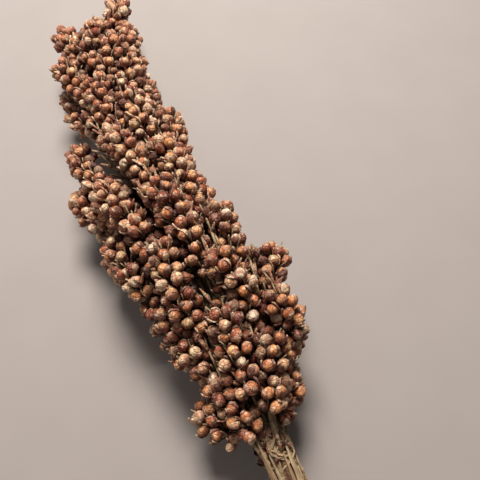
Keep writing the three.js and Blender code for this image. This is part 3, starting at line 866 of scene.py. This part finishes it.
def smooth_faces(bm, flat_ends=False):
    """Faces shade as one smooth skin; a stem's ends can stay flat."""
    for face in bm.faces:
        face.smooth = not flat_ends or len(face.verts) == 4


def keep_mesh(bm, name):
    mesh = bpy.data.meshes.new(name)
    bm.to_mesh(mesh)
    bm.free()
    return mesh


BASE_STRETCH = 1.06
CROWN_STRETCH = 0.93
CROWN_PIT = 0.16


def grain_pattern(segments, rings, bulges, name):
    """A bare grain of radius one, its base at z = -1: a ball with bulges, flattened at its crown,
    where a small pit is left."""
    bm = new_mesh()
    bmesh.ops.create_uvsphere(bm, u_segments=segments, v_segments=rings, radius=1)
    (height,) = layers_of(bm, "height")
    for v in bm.verts:
        v[height] = (v.co.z + 1) / 2
        v.co *= 1 + sum(amount * max(v.co.dot(Vector(way)), 0) ** 2 for way, amount in bulges)
        v.co.z *= BASE_STRETCH if v.co.z < 0 else CROWN_STRETCH
        if v[height] > 0.999:
            v.co.z -= CROWN_PIT
    smooth_faces(bm)
    return keep_mesh(bm, name)


FLARE_FROM = 0.55
HUSK_WALL = 0.14


def husk_pattern(half_angle, tip_height, lift, flare, waves, name):
    """One husk: the part of a ball between two planes that meet at its base and at its tip, with a
    wavy margin and a tip that stands off the grain."""
    bm = new_mesh()
    bmesh.ops.create_uvsphere(bm, u_segments=12, v_segments=9, radius=1)
    foot = Vector((0, 0, -1))
    rise = math.radians(tip_height)
    tip = Vector((math.cos(rise), 0, math.sin(rise)))
    chord = (tip - foot).normalized()
    outward = ((tip + foot) / 2).normalized()
    for sign in (1, -1):
        lean = Matrix.Rotation(math.radians(half_angle) * sign, 3, chord) @ outward
        beyond = lean.cross(chord) * -sign
        everything = bm.verts[:] + bm.edges[:] + bm.faces[:]
        bmesh.ops.bisect_plane(bm, geom=everything, plane_co=foot, plane_no=beyond, clear_outer=True)
    bmesh.ops.remove_doubles(bm, verts=bm.verts, dist=0.05)
    height, margin, across = layers_of(bm, "height", "margin", "across")
    rim_edges = [e for e in bm.edges if e.is_boundary]
    rim = {v for e in rim_edges for v in e.verts}
    widest = max(abs(v.co.y) for v in bm.verts)
    for v in bm.verts:
        v[height] = (v.co - foot).dot(chord) / (tip - foot).length
        v[margin] = 0.0 if v in rim else 1.0
        v[across] = v.co.y / widest
        share = hold(v[height])
        wave = math.sin(waves * v.co.z + 2 * v[across])
        v.co *= lift + 0.05 * math.sin(math.pi * share) + (0.07 * wave if v in rim else 0.025 * wave)
        if v in rim:
            v.co.y *= 1 + 0.1 * math.sin(2.3 * waves * v.co.z)
        v.co += (tip + 0.6 * outward) * (flare * max(share - FLARE_FROM, 0) / (1 - FLARE_FROM))
    smooth_faces(bm)
    for edge in rim_edges:
        edge.smooth = False
    made = bmesh.ops.extrude_edge_only(bm, edges=rim_edges)["geom"]
    inner = [v for v in made if isinstance(v, bmesh.types.BMVert)]
    bmesh.ops.scale(bm, vec=[1 - HUSK_WALL] * 3, verts=inner)
    bmesh.ops.holes_fill(bm, edges=[e for e in bm.edges if e.is_boundary], sides=0)
    bmesh.ops.recalc_face_normals(bm, faces=bm.faces)
    return keep_mesh(bm, name)


def spike_pattern():
    """An empty husk: a slender, slightly flat spindle that ends in a point."""
    bm = new_mesh()
    bmesh.ops.create_uvsphere(bm, u_segments=5, v_segments=5, radius=1)
    height, margin, across = layers_of(bm, "height", "margin", "across")
    for v in bm.verts:
        up = (v.co.z + 1) / 2
        v[height] = up
        v[margin] = 1 - abs(v.co.x) ** 2
        v[across] = v.co.x
        v.co.x *= 0.26 * (1.15 - 0.5 * up)
        v.co.y *= 0.15
        v.co.z = up
    smooth_faces(bm)
    return keep_mesh(bm, "spike_pattern")


def twig_pattern():
    """A short stem of length one along z, a little thicker at its foot."""
    bm = new_mesh()
    bmesh.ops.create_cone(bm, cap_ends=True, segments=5, radius1=1, radius2=0.75, depth=1)
    bmesh.ops.translate(bm, vec=(0, 0, 0.5), verts=bm.verts)
    height, across = layers_of(bm, "height", "across")
    for v in bm.verts:
        v[height] = v.co.z
        v[across] = math.atan2(v.co.y, v.co.x) / math.pi
    smooth_faces(bm, flat_ends=True)
    return keep_mesh(bm, "twig_pattern")


# the ways that a grain's bulges face, and how far each stands out, or lies in below zero
GRAIN_BULGES = {
    "grain_bulged": [((0.8, 0.2, 0.5), 0.1), ((-0.4, -0.8, 0.3), 0.06)],
    "grain_dented": [((0.3, 0.9, 0.2), 0.12), ((0.5, -0.7, 0.5), 0.08), ((-0.9, 0, 0.4), -0.1)],
    "grain_pinched": [((0.6, -0.5, 0.6), -0.12), ((-0.7, 0.6, 0.3), 0.09)],
}
# half angle and tip height in degrees, lift, flare and waves
HUSK_FORMS = {
    "husk_broad": (58, 64, 1.1, 0.16, 5),
    "husk_slim": (46, 70, 1.09, 0.1, 7),
    "husk_short": (64, 46, 1.12, 0.22, 6),
    "husk_flared": (44, 56, 1.11, 0.34, 8),
    "husk_clasping": (74, 68, 1.09, 0.08, 4),
}
GRAINS = [grain_pattern(10, 7, bulges, name) for name, bulges in GRAIN_BULGES.items()]
PLAIN_GRAIN = grain_pattern(7, 5, [], "grain_plain")
HUSKS = [husk_pattern(*form, name) for name, form in HUSK_FORMS.items()]
SPIKE = spike_pattern()
TWIG = twig_pattern()

details = random.Random(4107)


def any_turn():
    return details.uniform(0, 2 * math.pi)


def jitter(amount):
    return Vector([details.uniform(-amount, amount) for _ in range(3)])


def any_stretch(*limits):
    """A stretch along x, y and z, each drawn between its own two limits."""
    return Matrix.Diagonal([details.uniform(low, high) for low, high in limits] + [1])


def stamp(bm, pattern, place, **values):
    """Adds a copy of a pattern, moved by the matrix, with values of its own in the point layers."""
    before = len(bm.verts)
    bm.from_mesh(pattern)
    bm.verts.ensure_lookup_table()
    fresh = bm.verts[before:]
    bmesh.ops.transform(bm, matrix=place, verts=fresh)
    for name, value in values.items():
        layer = bm.verts.layers.float[name]
        for v in fresh:
            v[layer] = value
    return fresh


def facing(up, roll=0.0):
    """A turn that sends z along a direction, then turns about it."""
    return Vector(up).to_track_quat("Z", "Y").to_matrix().to_4x4() @ Matrix.Rotation(roll, 4, "Z")


def inside_box(bm):
    """No point stands outside the box of the solids."""
    low, high = cad_box
    for v in bm.verts:
        for axis in range(3):
            v.co[axis] = hold(v.co[axis], low[axis], high[axis])


def finish_piece(bm, name, material, nodes=()):
    inside_box(bm)
    mesh = keep_mesh(bm, name)
    mesh.materials.append(material)
    piece = bpy.data.objects.new(name, mesh)
    bpy.context.scene.collection.objects.link(piece)
    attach(piece, "root")
    if nodes:
        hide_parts(*nodes)


# sprays

# kinds of grain and of husk: the share of them up to each kind, and the kind's lowest and highest tint
# grains: a few deep red, most tan or ochre, a few pale, and fewer still olive or very pale
GRAIN_TINTS = [(0.14, 0.0, 0.15), (0.8, 0.2, 0.75), (0.92, 0.75, 0.93), (1, 0.93, 1.0)]
# husks: many dark, some brown, a few dried to straw
HUSK_TINTS = [(0.42, 0.0, 0.34), (0.76, 0.34, 0.68), (1, 0.68, 1.0)]
GRAIN_DRYNESS = 0.12
HUSK_DRYNESS = 0.3
DRY_FROM = 60
DRY_OVER = 110
DENSE_FROM = 105
INNER_GRAIN_RADIUS = 1.9
INNER_GRAIN_PITCH = 3.3


def any_tint(kinds, dryness):
    """A tint of one of the kinds: where the head is drier, the later and paler kinds come more often."""
    roll = details.random() + dryness
    for share, low, high in kinds:
        if roll < share:
            break
    return details.uniform(low, high)


def depth_of(open_looks):
    """How deep between the grains a place is, from 1 with no line of sight to 0 in the open: how much painted
    shade it takes.
    """
    return (1 - open_looks / LOOKS) ** 0.8


def near_tip(y):
    """From 0 in the lower half of the head to 1 at its tip, where it is drier and paler."""
    return hold((y - DRY_FROM) / DRY_OVER)


def grow_grain(grains_bm, husks_bm, twigs_bm, grain):
    """One grain with its two husks and the short stem that carries it."""
    seen = grain["open"] >= SEEN_LOOKS
    # painted shade, from how deep among the other grains this one stands
    inside = depth_of(grain["open"])
    dry = near_tip(grain["middle"][1])
    middle = placed(grain["middle"]) + jitter(0.35 * MM)
    out = Vector(grain["out"])
    along = Vector(grain["along"])
    up = (out * 0.85 + along * 0.55 + jitter(0.45)).normalized()
    size = GRAIN_RADIUS * MM * details.triangular(0.76, 1.04, 0.95)
    turn = facing(up, any_turn())
    form = any_stretch((0.9, 1.03), (0.9, 1.03), (0.95, 1.14))
    place = Matrix.Translation(middle) @ turn @ Matrix.Scale(size, 4) @ form
    pattern = details.choice(GRAINS) if grain["open"] > 0 else PLAIN_GRAIN
    scar = details.choice((0.0, 0.0, 0.5, 0.9))
    tint = any_tint(GRAIN_TINTS, GRAIN_DRYNESS * dry)
    stamp(grains_bm, pattern, place, tint=tint, scar=scar, inside=inside)
    if grain["open"] == 0:
        return
    tint = any_tint(HUSK_TINTS, HUSK_DRYNESS * dry)
    for half in range(2 if seen and details.random() > 0.12 else 1):
        lean = Matrix.Rotation(half * math.pi + details.uniform(-0.35, 0.35), 4, "Z")
        open_out = Matrix.Rotation(details.uniform(-0.08, 0.16), 4, "Y")
        stretch = any_stretch((1, 1.1), (0.85, 1.1), (0.9, 1.06))
        tone = hold(tint + details.uniform(-0.2, 0.2))
        stamp(husks_bm, details.choice(HUSKS), place @ lean @ open_out @ stretch, tint=tone, inside=inside)
    foot = placed(grain["axis"] - grain["along"] * details.uniform(1.4, 2.6))
    top = middle - up * size * 0.9
    grow_twig(twigs_bm, foot, top, 0.26 * MM, 1.0, inside)


def grow_twig(bm, foot, top, radius, inside_foot=0.0, inside_top=0.0, tint=None):
    """A straight stem, each end as deep between the grains, and as darkened by painted shade, as its own
    value says.
    """
    length = (top - foot).length
    if length < 1e-5:
        return
    shape = Matrix.Diagonal((radius, radius, length, 1))
    place = Matrix.Translation(foot) @ facing(top - foot) @ shape
    height, inside = layers_of(bm, "height", "inside")
    for v in stamp(bm, TWIG, place, tint=details.uniform(0, 1) if tint is None else tint):
        v[inside] = inside_foot + (inside_top - inside_foot) * v[height]


def low_points(spray):
    """The low points of a spray, each between three grains."""
    count = spray.count
    for k in range(count):
        yield spray.tip, spray.rows[0][k], spray.rows[0][(k + 1) % count]
    for i in range(1, len(spray.rows)):
        upper, lower = spray.rows[i - 1], spray.rows[i]
        turned = (i - 1) % 2
        for k in range(count):
            yield upper[k], lower[(k - 1 + turned) % count], lower[(k + turned) % count]
            yield lower[k], upper[(k - turned) % count], upper[(k + 1 - turned) % count]


def grow_empty_husks(husks_bm, twigs_bm, trio, at_tip):
    """What stands between three grains: empty husks, or the bare stem that a grain fell from."""
    open_looks = sum(cell["open"] for cell in trio) / 3
    if open_looks < 1:
        return
    # painted shade, from how deep between the grains this place stands
    inside = depth_of(open_looks)
    axis = sum(cell["axis"] for cell in trio) / 3
    middle = sum(cell["middle"] for cell in trio) / 3
    dense = middle[1] > DENSE_FROM
    along = Vector(trio[0]["along"])
    out = Vector(middle - axis).normalized()
    foot = placed(axis + 0.4 * (middle - axis))
    if details.random() < (0.2 if dense else 0.45):
        start = foot - along * details.uniform(1, 3.5) * MM
        top = placed(middle) + out * details.uniform(0.8, 2.2) * MM + along * details.uniform(0, 2.5) * MM
        top += jitter(0.8 * MM)
        grow_twig(twigs_bm, start, top, details.uniform(0.2, 0.36) * MM, 0.8, 0.25 * inside)
    husk_counts = (0, 0, 0, 0, 1) if at_tip or dense else (0, 0, 1, 1, 2)
    for _ in range(details.choice(husk_counts)):
        up = (out * 0.8 + along * 0.75 + jitter(0.4)).normalized()
        length = details.uniform(3.6, 6.0) * MM
        width = details.uniform(2.2, 3.6) * MM
        shape = Matrix.Diagonal((width, width, length, 1))
        place = Matrix.Translation(foot) @ facing(up, any_turn()) @ shape
        stamp(husks_bm, SPIKE, place, tint=details.uniform(0.3, 1.0), inside=0.6 * inside)


def grow_inner_grains(grains_bm, spray):
    """Grains on the branch itself, of dark tints and under full painted shade between the outer ones."""
    depth = FIRST_ROW + (len(spray.rows) - 2) * ROW_STEP
    back = 0.0
    while back < depth:
        point, along, _ = line_at(spray.beads, spray.rooms, back)
        up = (Vector(along) + jitter(0.5)).normalized()
        middle = placed(point) + jitter(0.5 * MM)
        place = Matrix.Translation(middle) @ facing(up) @ Matrix.Scale(INNER_GRAIN_RADIUS * MM, 4)
        # full painted shade
        stamp(grains_bm, PLAIN_GRAIN, place, tint=details.uniform(0.0, 0.3), inside=1.0)
        back += INNER_GRAIN_PITCH


def grow_axis(bm, spray):
    """The branch itself, from its foot to its last grains, as short stems end to end."""
    stations = [placed(p) for p in spray.beads]
    for n, (here, there) in enumerate(zip(stations, stations[1:])):
        radius = (0.72 - 0.055 * n) * MM
        overlap = (there - here).normalized() * 0.3 * MM
        # painted shade, deeper along the branch into the head
        deep = [min(0.3 + 0.12 * b, 1) for b in (n, n + 1)]
        grow_twig(bm, here, there + overlap, radius, *deep)


def grow_spray(spray):
    name = f"spray_{spray.number + 1:02d}"
    grains_bm, husks_bm, twigs_bm = new_mesh(), new_mesh(), new_mesh()
    for grain in spray.grains():
        grow_grain(grains_bm, husks_bm, twigs_bm, grain)
    for trio in low_points(spray):
        grow_empty_husks(husks_bm, twigs_bm, trio, trio[0] is spray.tip)
    grow_inner_grains(grains_bm, spray)
    grow_axis(twigs_bm, spray)
    finish_piece(grains_bm, f"grains_{name}", GRAIN_SKIN, [name])
    finish_piece(husks_bm, f"husks_{name}", HUSK_SKIN)
    finish_piece(twigs_bm, f"twigs_{name}", TWIG_SKIN)


for spray in sprays:
    grow_spray(spray)


# the stalk

STALK_SIDES = 44
STALK_IN_HEAD = 30
STALK_TOP = 192
RING_STEP_BELOW = 2.5
RING_STEP_IN_HEAD = 4
TUBE_SIDES = 8
GROOVES = 9
FINE_GROOVES = 23
SHEATHS = 11
STRANDS = 18
CURLS = 30
FIBRES = 16
LONG_STEMS = 150
LONG_STEM_PARTS = 6
RING_HUSKS = 150


def groove_at(y, turn):
    """From 0 on a ridge of the stalk to 1 in the bottom of one of its grooves."""
    return 0.5 + 0.5 * math.cos(GROOVES * turn + 0.9 * math.sin(y / 17) + 0.6 * math.sin(3 * turn))


def stalk_radius(y, turn):
    """The stalk's radius at a place: fibres make shallow grooves, deeper towards the head."""
    _, _, radius = stalk_table(y)
    near_head = hold((y + 45) / 50)
    fine = 0.5 + 0.5 * math.cos(FINE_GROOVES * turn + 0.5 * math.sin(y / 9))
    return radius * (1 - (0.03 + 0.06 * near_head) * groove_at(y, turn) - 0.015 * fine)


def stalk_ring(y):
    middle = stalk_middle(y)
    side, across = square_to(unit(stalk_middle(y + 0.5) - middle))
    ring = []
    for s in range(STALK_SIDES):
        turn = 2 * math.pi * s / STALK_SIDES
        out = side * math.cos(turn) + across * math.sin(turn)
        ring.append(placed(middle + stalk_radius(y, turn) * out))
    return ring


def under_grains(y):
    """From 1 on the open stalk to 0 where the lowest grains stand over it."""
    return hold((y - 22) / 14)


def groove_shade(y, turn):
    """How dark the stalk's skin is painted: painted shade in its grooves, most of all just under the head."""
    near_head = hold((y + 45) / 40) * (1 - 0.7 * under_grains(y))
    groove = groove_at(y, turn)
    return near_head * (0.6 + 0.4 * groove) + 0.3 * (1 - near_head) * groove


def head_shade(y):
    """How much painted shade darkens the strips and fibres that stand on the stalk under the lowest grains.
    """
    return 0.9 * hold((y - 3) / 8) * (1 - 0.6 * under_grains(y))


def draw_out(bm, sides, stations, settle_ring):
    """A skin drawn out ring by ring, each ring put in its place, from a cap to a closed end."""
    bmesh.ops.create_circle(bm, cap_ends=True, segments=sides, radius=MM)
    (cap,) = bm.faces
    ring = list(bm.verts)
    edges = list(bm.edges)
    settle_ring(ring, stations[0])
    for station in stations[1:]:
        grown = bmesh.ops.extrude_edge_only(bm, edges=edges)["geom"]
        fresh = {v for v in grown if isinstance(v, bmesh.types.BMVert)}
        ring = [next(e.other_vert(v) for e in v.link_edges if e.other_vert(v) in fresh) for v in ring]
        edges = [e for e in grown if isinstance(e, bmesh.types.BMEdge) and all(v in fresh for v in e.verts)]
        settle_ring(ring, station)
    bmesh.ops.holes_fill(bm, edges=edges, sides=0)
    bmesh.ops.recalc_face_normals(bm, faces=bm.faces)
    smooth_faces(bm, flat_ends=True)
    return cap


def grow_stalk():
    """The stalk, drawn out from its cut end to under the tip."""
    bm = new_mesh()
    (inside,) = layers_of(bm, "inside")

    def settle_ring(ring, y):
        for s, (v, point) in enumerate(zip(ring, stalk_ring(y))):
            v.co = point
            # painted shade in the stalk's grooves
            v[inside] = groove_shade(y, 2 * math.pi * s / STALK_SIDES)

    below = np.arange(-STALK_BELOW, STALK_IN_HEAD, RING_STEP_BELOW)
    in_head = np.arange(STALK_IN_HEAD, STALK_TOP, RING_STEP_IN_HEAD)
    cap = draw_out(bm, STALK_SIDES, [*below, *in_head], settle_ring)
    # the cut face sinks a little inside its rim
    inset = bmesh.ops.inset_region(bm, faces=[cap], thickness=0.5 * MM, depth=-0.35 * MM)["faces"]
    for face in inset:
        face.smooth = False
    return bm


def draw_tube(bm, points, widths, thickness, outs, tint):
    """A flattened stem through a row of points: a width at each, and the way its flat side faces."""
    tube_bm = new_mesh()
    height, across, inside = layers_of(tube_bm, "height", "across", "inside")

    def settle_ring(ring, n):
        ahead = (points[min(n + 1, len(points) - 1)] - points[max(n - 1, 0)]).normalized()
        side = ahead.cross(outs[n]).normalized()
        flat = min(thickness, widths[n])
        for s, v in enumerate(ring):
            turn = 2 * math.pi * s / TUBE_SIDES
            v.co = points[n] + side * (widths[n] * math.cos(turn)) + outs[n] * (flat * math.sin(turn))
            v[height] = v.co.y / (HEAD_LENGTH * MM)
            v[across] = 0.5 + 0.5 * math.cos(turn)
            # painted shade under the lowest grains
            v[inside] = head_shade((points[n].y - SHIFT.y) / MM)

    draw_out(tube_bm, TUBE_SIDES, range(len(points)), settle_ring)
    tube = keep_mesh(tube_bm, "tube")
    stamp(bm, tube, Matrix.Identity(4), tint=tint)
    bpy.data.meshes.remove(tube)


def stalk_side(y, turn, off):
    """A point near the stalk's skin, a distance off it, and the way out of the stalk there."""
    out = Vector((math.cos(turn), 0, math.sin(turn)))
    return placed(stalk_middle(y)) + out * (stalk_radius(y, turn) + off) * MM, out


def grow_on_stalk(bm, parts, station, thickness, tints):
    """A stem on the stalk's skin: at each share of its length, the station gives its height, its turn
    round the stalk, its distance off the skin and half its width."""
    points, outs, widths = [], [], []
    for k in range(parts + 1):
        y, turn, off, width = station(k / parts)
        point, out = stalk_side(y, turn, off)
        points.append(point)
        outs.append(out)
        widths.append(width * MM)
    draw_tube(bm, points, widths, thickness * MM, outs, details.uniform(*tints))


def grow_sheath(bm, start, end, turn, width):
    """A flat strip of the stalk's rind, sunk in it below and loose at its upper end."""
    lift = details.uniform(0.2, 1.5)
    lean = details.uniform(-0.25, 0.25)

    def station(t):
        at = turn + lean * t * t + 0.06 * math.sin(5 * t + 7 * turn)
        off = -0.35 + 0.45 * min(5 * t, 1) + lift * max(t - 0.72, 0) / 0.28
        taper = min(6 * t + 0.15, 1) * min(3.2 * (1 - t) + 0.1, 1)
        return start + (end - start) * t, at, off, width * taper * (1 + 0.1 * math.sin(11 * t + 3 * turn))

    grow_on_stalk(bm, 15, station, 0.42, (0.1, 0.95))


def grow_strand(bm, start, end, turn, radius):
    """A branch's root that runs down the stalk as a ridge and sinks into it."""

    def station(t):
        wander = turn + 0.16 * math.sin(4.1 * t + 5 * turn)
        width = radius * (0.5 + 0.5 * min(4 * t, 1))
        return start + (end - start) * t, wander, radius * (0.9 * t - 0.55), width

    grow_on_stalk(bm, max(int((end - start) / 4), 6), station, 0.8 * radius, (0.1, 0.9))


def grow_curl(bm, y, turn):
    """A dry fibre that bows off the stalk and comes back to it."""
    length = details.uniform(6, 13)
    bow = details.uniform(0.4, 1.4)
    swing = details.choice((-1, 1)) * details.uniform(0.5, 1.7)
    radius = details.uniform(0.28, 0.52)

    def station(t):
        at = turn + swing * math.sin(math.pi * t) + 0.4 * swing * t
        return y + length * (t - 0.5), at, bow * math.sin(math.pi * t) - 0.15, radius * (1 - 0.5 * t)

    grow_on_stalk(bm, 9, station, radius, (0.0, 0.7))


def grow_fibre(bm, y, turn):
    """A dry fibre that curls off the stalk at the ring where the lowest branches stand."""
    here, out = stalk_side(y, turn, 0)
    way = (out * 0.3 + Vector((0, 1, 0)) + jitter(0.7)).normalized()
    radius = details.uniform(0.18, 0.36) * MM
    tint = details.uniform(0.2, 1)
    for _ in range(3):
        there = here + way * details.uniform(1.0, 2.0) * MM
        grow_twig(bm, here, there, radius, tint=tint)
        here = there - way * 0.1 * MM
        way = (way - out * 0.25 + jitter(0.5)).normalized()


def grow_long_stem(bm, husks_bm):
    """A branch's stem that runs up inside the head, close under its grains, with empty husks on it."""
    start = details.uniform(2, 112)
    end = start + details.uniform(24, 44)
    turn = any_turn()
    out = Vector((math.cos(turn), 0, math.sin(turn)))
    reach = details.uniform(0.4, 0.84)
    points = []
    for k in range(LONG_STEM_PARTS + 1):
        t = k / LONG_STEM_PARTS
        y = start + (end - start) * t
        x, z, radius = stalk_table(y)
        head_reach = min(reach_at(y + beside, turn) for beside in (-12, 0, 12))
        away = radius * (1 - t) + reach * head_reach * math.sin(0.5 * math.pi * t) ** 0.8
        height = max(z + away * math.sin(turn), 1.5)
        points.append(placed((x + away * math.cos(turn), y, height)) + jitter(0.3 * MM))
    tint = details.uniform(0, 0.8)
    for k, (here, there) in enumerate(zip(points, points[1:])):
        along = (there - here).normalized()
        # a little painted shade, inside the head
        grow_twig(bm, here, there + along * 0.2 * MM, (0.75 - 0.07 * k) * MM, 0.15, 0.15, tint)
        if k < 2:
            continue
        up = (along + out * 0.5 + jitter(0.5)).normalized()
        shape = Matrix.Diagonal((2.8 * MM, 2.8 * MM, details.uniform(4, 6.5) * MM, 1))
        middle = here.lerp(there, details.random())
        place = Matrix.Translation(middle) @ facing(up, details.uniform(0, 6)) @ shape
        # a little painted shade, inside the head
        stamp(husks_bm, SPIKE, place, tint=details.uniform(0.6, 1.0), inside=0.1)


def grow_ring_husk(bm):
    """An old husk caught among the fibres of the lowest ring."""
    y = details.uniform(1, 15)
    turn = any_turn()
    middle, out = stalk_side(y, turn, details.uniform(0.0, 0.5))
    up = (out * 0.6 + Vector((0, 0.8, 0)) + jitter(0.6)).normalized()
    size = details.uniform(0.9, 1.6) * MM
    place = Matrix.Translation(middle) @ facing(up, details.uniform(0, 6.3)) @ Matrix.Scale(size, 4)
    # some painted shade among the fibres
    stamp(bm, details.choice(HUSKS), place, tint=details.uniform(0, 0.5), inside=0.3)


def grow_strands():
    """Everything that stands on the stalk's skin: strips of rind, roots of branches, curls and fibres."""
    bm = new_mesh()
    for k in range(SHEATHS):
        turn = 2 * math.pi * (k + details.uniform(0.25, 0.75)) / SHEATHS
        grow_sheath(bm, details.uniform(-76, -58), details.uniform(-4, 13), turn, details.uniform(1.1, 2.1))
    grow_sheath(bm, -72, 9, 2.45, 2.6)
    grow_sheath(bm, -66, 2, 0.95, 1.9)
    for _ in range(STRANDS):
        start = details.uniform(-40, 2)
        turn = any_turn()
        grow_strand(bm, start, details.uniform(8, 26), turn, details.uniform(0.3, 0.75))
    for _ in range(CURLS):
        grow_curl(bm, details.uniform(0, 10), any_turn())
    for _ in range(FIBRES):
        grow_fibre(bm, details.uniform(-8, 10), any_turn())
    return bm


def grow_stalk_pieces():
    finish_piece(grow_stalk(), "stalk_stem", PITH_SKIN, ["stalk"])
    finish_piece(grow_strands(), "stalk_strands", TWIG_SKIN)
    stems_bm, husks_bm, ring_bm = new_mesh(), new_mesh(), new_mesh()
    for _ in range(LONG_STEMS):
        grow_long_stem(stems_bm, husks_bm)
    for _ in range(RING_HUSKS):
        grow_ring_husk(ring_bm)
    finish_piece(stems_bm, "inner_stems", TWIG_SKIN)
    finish_piece(husks_bm, "inner_husks", HUSK_SKIN)
    finish_piece(ring_bm, "ring_husks", HUSK_SKIN)


grow_stalk_pieces()


# floor, light and camera

FLOOR_SIZE = 3


def floor_paint():
    material, tree, surface = new_material("floor_paint")
    mottle = noise(tree, object_place(tree), 40.0, 3.0, 0.5)
    colour = mix_colours(tree, mottle, paint(142, 134, 130), paint(148, 140, 136))
    tree.links.new(colour, surface.inputs["Base Color"])
    surface.inputs["Roughness"].default_value = 0.9
    return material


def lay_floor():
    bm = bmesh.new()
    bmesh.ops.create_grid(bm, x_segments=1, y_segments=1, size=FLOOR_SIZE)
    mesh = keep_mesh(bm, "floor")
    mesh.materials.append(floor_paint())
    floor = bpy.data.objects.new("floor", mesh)
    bpy.context.scene.collection.objects.link(floor)


LIT_PLACE = Vector((0, 0.02, 0.02))


def hang_lamp(name, place, energy, size, colour):
    """A square lamp that faces the head."""
    lamp = bpy.data.lights.new(name, "AREA")
    lamp.energy = energy
    lamp.size = size
    lamp.color = colour
    holder = bpy.data.objects.new(name, lamp)
    holder.location = place
    holder.rotation_euler = (LIT_PLACE - Vector(place)).to_track_quat("-Z", "Y").to_euler()
    bpy.context.scene.collection.objects.link(holder)


def set_lights():
    hang_lamp("window", (0.06, 0.34, 0.54), energy=8.2, size=0.24, colour=(1.0, 0.955, 0.905))
    hang_lamp("fill", (-0.45, -0.3, 0.5), energy=0.8, size=0.6, colour=(1.0, 0.96, 0.92))
    world = bpy.data.worlds.new("soft_room")
    world.use_nodes = True
    room = world.node_tree.nodes["Background"].inputs
    room["Color"].default_value = (1.0, 0.93, 0.87, 1)
    room["Strength"].default_value = 0.13
    bpy.context.scene.world = world
    bpy.context.scene.view_settings.view_transform = "Standard"


CAMERA_PLACE = (-15.9, -6.95, 189.5)
CAMERA_FROM_AXIS = math.radians(19.26)
CAMERA_DOWN = math.radians(62.6)
FOCAL_PIXELS = 515
FRAME_PIXELS = 480
SENSOR_WIDTH = 36


def set_camera():
    data = bpy.data.cameras.new("camera")
    data.sensor_width = SENSOR_WIDTH
    data.lens = SENSOR_WIDTH * FOCAL_PIXELS / FRAME_PIXELS
    data.clip_start = MM
    camera = bpy.data.objects.new("camera", data)
    level = math.cos(CAMERA_DOWN)
    forward = (math.sin(CAMERA_FROM_AXIS) * level, math.cos(CAMERA_FROM_AXIS) * level, -math.sin(CAMERA_DOWN))
    camera.location = placed(CAMERA_PLACE)
    camera.rotation_euler = Vector(forward).to_track_quat("-Z", "Y").to_euler()
    bpy.context.scene.collection.objects.link(camera)
    bpy.context.scene.camera = camera


lay_floor()
set_lights()
set_camera()
